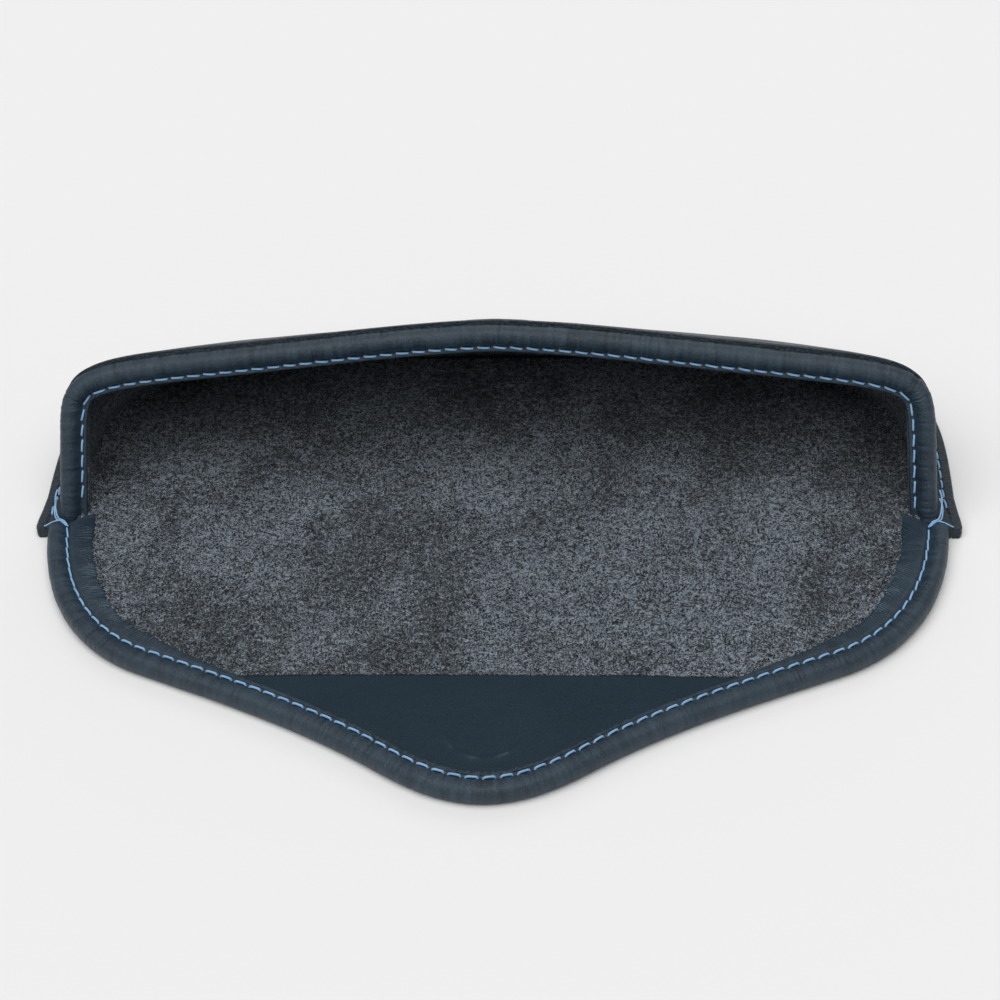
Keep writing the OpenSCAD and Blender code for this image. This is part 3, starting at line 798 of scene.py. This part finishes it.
def build_lining():
    # The floor's rim, which keeps further from the foot where the panel slopes less.
    rim = base_curve()
    t = unit(np.gradient(rim, axis=0))
    gap = 2.9 + 4.2 * np.sin(np.linspace(0, math.pi / 2, len(rim)))
    rim = rim + np.stack([-t[:, 1], t[:, 0]], -1) * gap[:, None]
    for name, y0, y1, bend, nodes in (
        ("lining_floor", POUCH_D - 11.6, SPLIT_Y, "hinge", ["back_lining", "bridge_lining"]),
        ("lining_fold", SPLIT_Y, FOLD_Y - 0.1, "fold", []),
    ):
        y = np.linspace(y0, y1, int(abs(y1 - y0) / 0.55) + 1)
        inside = np.interp(y, rim[:, 1], rim[:, 0])
        flap = flap_half_width(np.minimum(y, 0), 4.95)
        half = np.where(y > 2.5, inside, flap + (inside - flap) * ease(y, -1, 2.5))
        g = rows_of(y, half, np.linspace(-1, 1, 260))
        x2, y2 = g[..., 0], g[..., 1]
        z = Z_TOP + suede_height(x2, y2)
        wall = 1 - ease((half[:, None] - np.abs(x2)) * (y2 > 5) + 9 * (y2 <= 5), 0, 2.4)
        z += 0.9 * wall
        floor_z = np.full(z.shape, Z_LINING + 0.02)
        if bend == "fold":
            # The cut edge over the facing is ragged and a little raised.
            last = 1 - ease(y2 - y1, 0, 1.1)
            ragged = 0.10 * noise(x2 / 0.45, 0 * y2, 31) + 0.08 * noise(x2 / 2.2, 0 * y2, 32)
            g[..., 1] += last * ragged
            g[..., 1] += last * facing_line(x2)
            z = z * (1 - last) + (Z_TOP + 0.10 + 0.4 * (z - Z_TOP)) * last
            floor_z += (Z_TOP - 0.10 - floor_z) * (y2 < y1 + 0.8)
        o = Build().add(*shell(raised(g, z), raised(g, floor_z))).object(name, SUEDE)
        done(o, "suede_lining", nodes, bend=bend)


def facing_line(x):
    """How far the facing's upper edge bows from its straight line."""
    return 0.55 * ease(np.abs(x), 18, 52) * -1 + 0.25


def build_facing():
    inner = 4.7
    start = FLAP.s_at_y(FOLD_Y + 0.35, inner)
    s = np.linspace(start, FLAP.length - start, 401)
    g = coons_in(FLAP.at(s, inner), 120, 280)
    g[..., 1] += facing_line(g[..., 0]) * (1 - ease(np.linspace(0, 1, g.shape[1]), 0, 0.2))[None]
    x, y = g[..., 0], g[..., 1]
    z = Z_TOP + 0.04 + 0.05 * noise(x / 13, y / 11, 41) + 0.02 * noise(x / 3.1, y / 2.7, 42)
    z += 0.012 * noise(x / 1.6, y / 0.5, 43)
    under = 1 - ease(FOLD_Y + facing_line(x) - y, -0.1, 0.6)  # slips under the suede's edge
    z = z * (1 - under) + (Z_TOP - 0.14) * under
    r = np.hypot(x, y - MAGNET_Y)
    ring = np.exp(-(((r - MAGNET_R - 0.5) / 0.55) ** 2))
    down = -(y - MAGNET_Y) / np.maximum(r, 0.1)
    lower = 0.35 + 0.65 * ease(down, -0.5, 0.8)
    z += 0.19 * ring * lower - 0.06 * np.exp(-(((r - MAGNET_R + 0.9) / 0.7) ** 2))
    z += 0.07 * (1 - ease(r, MAGNET_R - 1.2, MAGNET_R))
    # Painted highlight: the ring's lower arc is made lighter, broken by noise.
    broken = np.clip(0.5 + 1.2 * noise(x / 1.7, y / 1.7, 44), 0, 1)
    tone = 0.9 * ring * broken * ease(down, -0.2, 0.7)
    tone = np.r_[tone.ravel(), 0 * tone.ravel()]
    skin = shell(raised(g, z), raised(g, Z_LINING + 0.03))
    o = Build().add(*skin, tone=tone).object("tip_facing_leather", FACED)
    done(o, "facing_leather", ["tip_facing"], bend="fold")


def underside_groove(d):
    """Height of the underside near the flap's edge, with the groove for the stitches."""
    return 0.5 * (1 - ease(d, 3.95, 4.6))


def straighten(band, s, y, reach=7):
    """Moves both ends of a band of offset curves on to the line at y."""
    fade = 1 - ease(s - s[0], 0, reach)
    first, last = band[0, :, 1] - y, band[-1, :, 1] - y
    band[..., 1] -= fade[:, None] * first[None] + fade[::-1][:, None] * last[None]


def banded(band, corners, value):
    """A flat mesh of a band of offset curves and of what lies inside them: its points, a value
    that each curve gives its points, and its quads."""
    core = coons_in(band[:, -1], *corners)
    xy = np.vstack([band.reshape(-1, 2), core.reshape(-1, 2)])
    quads = np.vstack([grid_quads(*band.shape[:2]), grid_quads(*core.shape[:2], first=band.size // 2)])
    value = np.r_[np.tile(value, len(band)), np.full(core.size // 2, value[-1])]
    both, quads = weld(np.c_[xy, value], quads)
    return both[:, :2], both[:, 2], quads


def build_outer_skin():
    """The flap's outer leather, underneath while the case lies open."""
    inset = 3.42
    y = np.linspace(0.15, SPLIT_Y, 60)
    half = flap_half_width(y, inset)
    g = rows_of(y, half, edge_spread(79, 2.2, 12, 150))
    d = inset + (half[:, None] - np.abs(g[..., 0]))
    z = underside_groove(d) + skin_height(g[..., 0], g[..., 1]) * ease(d, 4.6, 8)
    o = Build().add(*shell(raised(g, LEATHER), raised(g, z))).object("outer_leather_hinge", PEBBLED)
    done(o, "outer_leather", ["bridge_leather"], bend="hinge")

    s = np.linspace(S_SPLIT, FLAP.length - S_SPLIT, 401)
    ds = np.array([0, 0.3, 0.55, 0.75, 0.95, 1.15, 1.5, 2.2])
    band = np.stack([FLAP.at(s, inset + d) for d in ds], 1)
    straighten(band, s, SPLIT_Y, 6)
    xy, dist, quads = banded(band, (150, 250), inset + ds)
    z = underside_groove(dist) + skin_height(*xy.T) * (dist > 5.6)
    o = Build().add(*plate(xy, quads, z, LEATHER)).object("outer_leather_tip", PEBBLED)
    done(o, "outer_leather", ["tip_leather"], bend="fold")


def coons_in(curve, a, b):
    """Fills an open curve and the straight line that closes it. a and b are its corners."""
    right, far, left = curve[: a + 1], curve[a : b + 1], curve[b:][::-1]
    u = np.linspace(0, 1, len(far))[:, None]
    near = right[0] * (1 - u) + left[0] * u
    return coons(near, far, right, left)


# ---- the pouch ----


def front_r(ph, be):
    x = (np.abs(np.cos(ph)) + 0.05 * np.sin(ph) * np.sin(be)) / SIDE
    y = np.maximum(0, np.sin(ph) * np.cos(be))
    z = np.maximum(0, np.sin(ph) * np.sin(be))
    w = (z * math.cos(SLOPE) + y * math.sin(SLOPE)) / ROOF_D
    drop = 0.78 * (0.5 + 0.5 * be / MOUTH_BE)
    roof = w * (1 + drop * (x / (x + w + 1e-9)) ** 2)
    p = FRONT_P + 8 * (be / MOUTH_BE) ** 2
    return (x**p + (y / END_D) ** p + roof**p) ** (-1 / p)


def front_point(ph, be):
    r = front_r(ph, be)
    return np.stack([r * np.cos(ph), r * np.sin(ph) * np.cos(be), r * np.sin(ph) * np.sin(be)], -1)


def front_normal(ph, be):
    e = math.radians(0.4)
    ph = np.clip(ph, math.radians(0.8), math.radians(179.2))
    be = np.maximum(be, math.radians(0.5))
    du = front_point(ph + e, be) - front_point(ph - e, be)
    dv = front_point(ph, be + e) - front_point(ph, be - e)
    return unit(np.cross(du, dv))


def base_curve():
    """Right half of the front's foot in plan, as x and y with y growing."""
    ph = np.linspace(0, math.pi / 2, 800)
    p = front_point(ph, np.zeros_like(ph))
    return np.stack([p[:, 0], p[:, 1] + FOOT_Y], -1)


def mouth_angles(n, low):
    """Angles round the arch above height low, spaced evenly along it, from left to right."""
    ph = np.linspace(math.pi, 0, 6000)
    p = front_point(ph, np.full_like(ph, MOUTH_BE))
    r = running(p)
    ok = p[:, 2] + FOOT_Z >= low
    return np.interp(np.linspace(r[ok][0], r[ok][-1], n), r, ph)


def front_grid(n, m, depth, z_end, lead):
    """The front's surface at a depth below its outside, from the mouth down to height z_end.
    It starts lead millimetres ahead of the mouth's rear plane. Returns points and normals."""
    ph = mouth_angles(n, z_end + 0.25)
    be = MOUTH_BE * (1 - np.linspace(0, 1, 240) ** 1.2)
    p2, b2 = np.meshgrid(ph, be, indexing="ij")
    normal = front_normal(p2, b2)
    flat = unit(normal[:, :1] - (normal[:, :1] @ REAR)[..., None] * REAR)
    near = (1 - ease(np.arange(len(be)), 0, 12))[None, :, None]
    normal = unit(normal * (1 - near) + flat * near)
    surface = front_point(p2, b2) + [0, FOOT_Y, FOOT_Z]
    places, normals = [], []
    for i in range(n):
        line = surface[i] - depth * normal[i]
        ahead = line[:1] - REAR * lead
        line = np.vstack([ahead, line])
        nrm = np.vstack([normal[i, :1], normal[i]])
        below = np.nonzero(line[:, 2] < z_end)[0]
        if len(below):
            k = below[0]
            t = (line[k - 1, 2] - z_end) / (line[k - 1, 2] - line[k, 2])
            cut = line[k - 1] + t * (line[k] - line[k - 1])
            line, nrm = np.vstack([line[:k], cut]), np.vstack([nrm[:k], nrm[k]])
        r = running(line)
        s = np.r_[np.linspace(0, lead, 4)[:-1], lead + (r[-1] - lead) * np.linspace(0, 1, m - 3)]
        places.append(along(line, s))
        normals.append(unit(lookup(s, r, nrm)))
    return np.array(places), np.array(normals)


def land_frame():
    """Where the flap's magnet lands on the front: the point and the outward direction."""
    z = ARCH_H * math.sin(MOUTH_BE) - LAND_DOWN * math.sin(SLOPE)
    y = ARCH_H * math.cos(MOUTH_BE) + LAND_DOWN * math.cos(SLOPE)
    ph, be = np.array([math.pi / 2]), np.array([math.atan2(z, y)])
    return front_point(ph, be)[0] + [0, FOOT_Y, FOOT_Z], front_normal(ph, be)[0]


def run_down(p):
    """Distance down each line of the front's grid."""
    seg = np.linalg.norm(np.diff(p, axis=1), axis=2)
    return np.concatenate([np.zeros((len(p), 1)), np.cumsum(seg, 1)], 1)


def build_front():
    p, n = front_grid(420, 96, 0.0, 2 * LEATHER, 1.0)
    run = run_down(p)
    left = run[:, -1:] - run
    x, y = p[..., 0], p[..., 1]
    h = 0.10 * noise(x / 24, y / 20, 61) + 0.04 * noise(x / 7, y / 7, 62)
    h *= ease(run, 1, 8) * ease(left, 1, 6)
    h -= 0.55 * bump_at(run, 1.3, 1.3)  # pulled in by the mouth's stitches
    place, up = land_frame()
    r = np.linalg.norm(p - place, axis=-1)
    h += 0.10 * np.exp(-(((r - FRONT_MAGNET_R - 0.5) / 0.6) ** 2))
    h += 0.05 * (1 - ease(r, FRONT_MAGNET_R - 1, FRONT_MAGNET_R))
    out = p + n * h[..., None]
    # A small fillet where the leather turns out on to the seam flange.
    flare = np.clip(1 - (p[..., 2] - 2 * LEATHER) / 1.1, 0, 1)
    away = n * [1, 1, 0]
    away = away / np.maximum(np.linalg.norm(away, axis=-1, keepdims=True), 0.3)
    away[run < 3] = 0
    out += away * (1.1 * (1 - np.sqrt(np.clip(1 - flare**2, 0, 1))))[..., None]
    inner = p - n * LEATHER
    inner[..., 2] = np.maximum(inner[..., 2], LEATHER + 0.05)
    o = Build().add(*shell(out, inner)).object("front_panel_leather", PEBBLED)
    done(o, "outer_leather", ["front_leather"], body="pouch")

    p, n = front_grid(360, 90, LEATHER + BOARD + LINING, Z_TOP - 0.5, 1.8)
    run = run_down(p)
    x, y, z = p[..., 0], p[..., 1], p[..., 2]
    soft = 0.10 * noise(x / 14, y / 12, 63) + 0.05 * noise(x / 3, z / 3, 64)
    swell = 1.38 * (1 - ease(run, 2.2, 8.0)) + soft
    face = p - n * swell[..., None]
    back = p + n * LINING * 0.95
    o = Build().add(*shell(back, face)).object("lining_roof", SUEDE)
    done(o, "suede_lining", ["front_lining"], body="pouch")


def pouch_edge():
    half = base_curve()
    half = half[half[:, 0] > 0.01]
    curve = np.vstack([half, half[::-1] * [-1, 1]])[::-1]  # left foot round the end to the right
    e = Edge(curve, step=0.2, soften=2.0)
    flange = e.inset(-SEAM_W)
    flange = flange[flange[:, 1] > FOOT_Y + 5.0]
    wing = np.array([(0.45, 0.15), (0.08, 0.6), (0, 1.3), (0.12, 3.0), (0.45, 5.6)]) - [CASE_W / 2, 0]
    return Edge(np.vstack([wing, flange, wing[::-1] * [-1, 1]]), step=0.15, soften=1.2)


POUCH = pouch_edge()


def build_back():
    s = np.linspace(0, POUCH.length, 521)
    ds = np.array([0, 0.08, 0.25, 0.6, 1.1, 1.5, 1.68, 1.82, 2.0, 2.18, 2.32, 2.5, 3.2, 4.4, 6.0])
    zs = np.array([0.5, 0.22, 0.06, 0, 0, 0, 0.1, 0.3, 0.38, 0.3, 0.1, 0, 0, 0, 0])
    band = np.stack([POUCH.at(s, d) for d in ds], 1)
    straighten(band, s, 0.15)
    xy, z, quads = banded(band, (150, 370), zs)
    z = z + skin_height(*xy.T) * (z == 0)
    o = Build().add(*plate(xy, quads, z, LEATHER)).object("outer_leather_back", PEBBLED)
    done(o, "outer_leather", ["back_leather"], body="pouch")


FLANGE_SECTION = [
    (0.35, 1.24, 0.5), (0.1, 1.36, 1), (0.0, 1.7, 1), (0.08, 2.12, 1), (0.4, 2.37, 1),
    (1.0, 2.41, 0.8), (1.55, 2.38, 1.2), (1.8, 2.16, 1.6), (2.0, 2.06, 1.6), (2.2, 2.16, 1.6),
    (2.45, 2.38, 1.2), (3.2, 2.41, 0.8), (4.4, 2.38, 0.8), (5.2, 2.3, 0.6), (5.2, 1.6, 0.3),
    (4.9, 1.25, 0.3), (2.5, 1.22, 0.2),
]


def build_flange():
    """The seam flange round the pouch, its wings at the mouth, and its stitches."""
    s = np.linspace(0, POUCH.length, int(POUCH.length / 0.3))
    (d, z), _ = section_ring(FLANGE_SECTION, 44)
    deep = 1.4 * ease(POUCH.pick(POUCH.p, s)[:, 1], POUCH_D - 21, POUCH_D - 5)[:, None]
    d_now = np.where(d > 4.0, d + deep * ease(d, 4.0, 5.2), d)
    s2 = s[:, None]
    away = nearest_stitch(s, SEAM_STITCHES)[:, None]
    h = 0.04 * noise(s2 / 4, d / 3, 71) + 0.02 * noise(s2 / 1.1, d / 2, 72)
    h += (bump_at(d, 1.3, 0.7) + bump_at(d, 2.7, 0.7)) * 0.04 * (ease(away, 0.2, 0.9) - 0.5)
    z_now = z + h * ease(z, 1.9, 2.3)
    p = POUCH.rings(s, d_now)
    straighten(p, s, 0.15)
    o = Build().add(*tube_flat(raised(p, z_now))).object("seam_flange_leather", PEBBLED)
    done(o, "outer_leather", [], body="pouch")

    b = Build()
    rng = np.random.default_rng(8)
    for at in SEAM_STITCHES[1:-1]:
        q, t = POUCH.spot(at, SEAM_W / 2)
        d3 = np.array([*t, 0])
        j = rng.uniform(-1, 1, 3)
        over, under = np.array([*q, 2.32]), np.array([*q, 0.25])
        slant, low = math.radians(5 + 2.5 * j[1]), math.radians(-5)
        one_stitch(b, over, d3, UP, 2.05 + 0.08 * j[0], slant=slant, arch=0.1)
        one_stitch(b, under, d3, -UP, 2.0 + 0.08 * j[2], radius=0.19, slant=low, arch=0.03, dip=0.3)
    done(b.object("seam_stitches", THREAD, 80), "blue_thread", ["seam_stitching"], body="pouch")


# ---- the mouth ----


def mouth_edge():
    ph = np.linspace(math.pi, 0, 5000)
    r = front_r(ph, np.full_like(ph, MOUTH_BE))
    x = r * np.cos(ph) * (SIDE + 0.5) / SIDE
    h = r * np.sin(ph) * (ARCH_H + 0.9) / ARCH_H + FOOT_RISE
    low = FOOT_RISE - 0.02
    return Edge(np.vstack([[(-SIDE - 0.5, low)], np.stack([x, h], -1), [(SIDE + 0.5, low)]]), soften=1.6)


MOUTH = mouth_edge()
SEAM_STITCHES = stitch_places(POUCH, SEAM_W / 2)
MOUTH_STITCHES = stitch_places(MOUTH, 4.1)


def in_mouth(xh, depth):
    """Points of the mouth's plane, moved back by depth, in the row frame."""
    x, h = xh[..., 0], xh[..., 1]
    y = h * math.sin(LEAN) + depth * math.cos(LEAN)
    z = h * math.cos(LEAN) - depth * math.sin(LEAN)
    return np.stack([x, y, z], -1)


MOUTH_SECTION = [
    (4.95, 3.7, 0.4), (5.0, 2.6, 0.8), (4.97, 1.9, 1.2), (4.75, 1.62, 1.3), (4.4, 1.6, 1.3),
    (4.12, 1.74, 1.5), (3.85, 1.66, 1.5), (3.55, 1.28, 1.4), (3.25, 0.78, 1.2), (2.7, 0.26, 1.1),
    (1.8, 0.0, 1.1), (0.85, 0.24, 1.1), (0.2, 1.0, 1.1), (0.0, 2.0, 1.1), (0.2, 3.0, 1.1),
    (0.75, 3.75, 1), (1.5, 4.1, 0.7), (2.6, 4.15, 0.3), (4.2, 4.05, 0.3),
]


def build_mouth():
    s = np.linspace(0, MOUTH.length, int(MOUTH.length / MOUTH_STEP))
    (d, t), (out_d, out_t) = section_ring(MOUTH_SECTION, 62)
    s2 = s[:, None]
    turn = np.abs(np.gradient(np.unwrap(np.arctan2(MOUTH.t[:, 1], MOUTH.t[:, 0])), MOUTH.s))
    turn = np.interp(s, MOUTH.s, np.convolve(turn, np.ones(41) / 41, "same"))
    corner = ease(turn, 0.02, 0.09)[:, None]
    angle = np.arctan2(2.0 - t, 1.75 - d)
    roll = 1 - ease(d, 3.2, 4.0)
    h = roll * 0.06 * noise(s2 / 8, angle / 1.5, 81)
    streak = noise(s2 / 0.5, angle / 1.9, 82) + 0.6 * noise(s2 / 1.1, angle / 1.2, 85)
    h += roll * 0.045 * streak
    crease = np.clip(noise(s2 / 0.85, angle / 2.8, 83) - 0.35, 0, 1)
    h -= roll * (0.07 + 0.22 * corner) * crease
    # Painted shade: the roll is made darker in its creases; the streaks and the strip's flecks are random
    # tone.
    tone = roll * (0.3 * streak - 0.8 * crease) + (1 - roll) * 0.25 * noise(s2 / 0.6, d / 0.8, 86)
    pleat = np.cos(2 * math.pi * (s2 + 0.3 * noise(s2 / 2, d, 84)) / 0.95)
    h += corner * ease(d, 1.2, 2.4) * (t < 2) * 0.07 * pleat
    away = nearest_stitch(s, MOUTH_STITCHES)[:, None]
    front = t < 2.2
    h += front * (bump_at(d, 3.3, 0.7) + bump_at(d, 4.65, 0.4)) * 0.06 * (ease(away, 0.2, 0.9) - 0.5)
    h -= front * bump_at(d, 4.12, 0.5) * 0.12 * ease(away, 0.62, 1.0)
    t_now = t + out_t * h
    xh = MOUTH.rings(s, d + out_d * h)
    # The feet are cut level, just above the back leather.
    for end in (0, -1):
        want = (FOOT_Z + 0.06 + t_now[end] * math.sin(LEAN)) / math.cos(LEAN)
        fade = 1 - ease(np.abs(s - s[end]), 0, 7)
        xh[..., 1] += fade[:, None] * (want - xh[end, :, 1])[None]
    rings = in_mouth(xh, t_now)
    tone = np.broadcast_to(tone, rings.shape[:2])
    o = Build().add(*tube_flat(rings), tone=np.r_[tone.ravel(), 0, 0]).object("mouth_roll", SMOOTH)
    done(o, "edge_leather", ["mouth_binding"], body="pouch")

    s = np.arange(2.2, MOUTH.length - 2.2, 0.5)
    filler_cord("filler_cord_mouth", in_mouth(MOUTH.at(s, 1.8), 2.0), REAR, "mouth_cord", body="pouch")

    b = Build()
    rng = np.random.default_rng(9)
    for at in MOUTH_STITCHES:
        if not 4.5 < at < MOUTH.length - 4.5:
            continue
        xh, t = MOUTH.spot(at, 4.1)
        q, d3 = in_mouth(xh, 1.46), in_mouth(t, 0.0)
        j = rng.uniform(-1, 1, 2)
        one_stitch(b, q, d3, -REAR, 2.05 + 0.1 * j[0], slant=math.radians(-5 + 2.5 * j[1]))
    # Outside, the same thread shows on the panel in the crease behind the roll.
    ph = np.linspace(math.pi, 0, 6000)
    rim = front_point(ph, np.full_like(ph, MOUTH_BE)) + [0, FOOT_Y, FOOT_Z]
    r = running(rim)
    for i in range(int((r[-1] - 12) / PITCH)):
        k = int(np.searchsorted(r, 6 + (i + 0.5) * PITCH))
        up = front_normal(ph[k : k + 1], np.array([MOUTH_BE * 0.995]))[0]
        d3 = unit(rim[min(k + 3, 5999)] - rim[k - 3])
        q = rim[k] + REAR * 0.30 - up * 0.62
        one_stitch(b, q, d3, up, 2.0, radius=0.19, slant=math.radians(5), arch=0.05, dip=0.3)
    done(b.object("mouth_stitches", THREAD, 80), "blue_thread", ["mouth_stitching"], body="pouch")


def build_tacks():
    """The thread that ties the foot of the mouth's roll to the flange and the flap's roll."""
    for side, node in ((-1, "corner_tack_left"), (1, "corner_tack_right")):
        b = Build()
        m = np.array([side, 1, 1.0])
        x = SIDE + 0.72
        lines = [
            [
                (78.6, -1.1, 3.75), (79.4, -0.1, 4.15), (80.4, 0.25, 4.5), (x - 0.1, 0.9, 5.2),
                (x + 0.12, 1.9, 6.4), (x + 0.1, 2.9, 7.6), (x - 0.25, 3.6, 8.5),
            ],
            [
                (78.9, -0.9, 3.7), (79.9, 0.0, 3.9), (x, 0.5, 4.2), (x + 0.3, 1.3, 5.1),
                (x + 0.22, 2.2, 6.2), (x - 0.2, 3.1, 7.0),
            ],
            [
                (79.0, -0.7, 3.8), (80.2, 0.05, 4.15), (81.5, 0.1, 3.75), (82.7, 0.2, 3.0),
                (83.3, 0.5, 2.45),
            ],
        ]
        for line, radius in zip(lines, (0.15, 0.15, 0.14)):
            p = np.array(line) * m
            p = spline(p, int(running(p)[-1] / 0.12))
            b.add(*tube(sweep(p, radius, np.array([0.2, 0.3, 1.0]))))
        done(b.object(node + "_thread", THREAD, 80), "blue_thread", [node], body="pouch")


# ---- build everything ----

build_flap_edges()
build_lining()
build_facing()
build_outer_skin()
build_front()
build_back()
build_flange()
build_mouth()
build_tacks()

for part, look in (("board", FIBREBOARD), ("magnet_disc", FIBREBOARD), ("magnet", STEEL)):
    for place in ("back", "front", "bridge", "tip", "flap"):
        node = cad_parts.get(f"{place}_{part}")
        if node:
            node.data.materials.clear()
            node.data.materials.append(look)

# ---- floor, light, camera ----

bpy.ops.mesh.primitive_grid_add(x_subdivisions=8, y_subdivisions=8, size=6.0, location=(0, 0, 0))
floor = bpy.context.object
floor.name = "floor"
white = bpy.data.materials.new("floor_paper")
white.use_nodes = True
paper = white.node_tree.nodes["Principled BSDF"].inputs
paper["Base Color"].default_value = (0.86, 0.86, 0.86, 1)
paper["Roughness"].default_value = 1.0
paper["Specular IOR Level"].default_value = 0.0
floor.data.materials.append(white)

world = bpy.data.worlds.new("studio")
bpy.context.scene.world = world
world.use_nodes = True
world.node_tree.nodes["Background"].inputs["Color"].default_value = (1.0, 1.0, 1.0, 1)
world.node_tree.nodes["Background"].inputs["Strength"].default_value = 0.22


def soft_sun(name, towards, spread, strength):
    """A very wide sun: even light on the whole floor, like a large softbox far away."""
    data = bpy.data.lights.new(name, "SUN")
    data.angle = math.radians(spread)
    data.energy = strength
    o = bpy.data.objects.new(name, data)
    bpy.context.scene.collection.objects.link(o)
    o.rotation_euler = Vector(towards).to_track_quat("-Z", "Y").to_euler()


soft_sun("overhead", (0.12, 0.42, -1.0), 75, 2.46)
soft_sun("back", (-0.1, -1.0, -0.55), 50, 0.5)

bpy.context.scene.view_settings.view_transform = "Standard"


# The camera, fitted to the case's outline: the angles in degrees, and lengths in millimetres.
HEIGHT_ANGLE, TURN, ROLL = 38.065, -3.129, -1.887
AIM, DISTANCE = (0.271, 11.515, 0.0), 559.55


def set_camera():
    """A long lens that looks down at the open flap, as the picture was taken."""
    el, az, roll = math.radians(HEIGHT_ANGLE), math.radians(TURN), math.radians(ROLL)
    ahead = Vector((math.sin(az) * math.cos(el), math.cos(az) * math.cos(el), -math.sin(el)))
    right = Vector((math.cos(az), -math.sin(az), 0))
    up = right.cross(ahead)
    cos, sin = math.cos(roll), math.sin(roll)
    right, up = right * cos + up * sin, up * cos - right * sin
    data = bpy.data.cameras.new("camera")
    data.sensor_width, data.lens = 36.0, 108.0
    cam = bpy.data.objects.new("camera", data)
    bpy.context.scene.collection.objects.link(cam)
    place = Vector(AIM) * MM - ahead * DISTANCE * MM
    cam.matrix_world = Matrix.Translation(place) @ Matrix((right, up, -ahead)).transposed().to_4x4()
    data.clip_start, data.clip_end = 0.01, 50.0
    bpy.context.scene.camera = cam


set_camera()
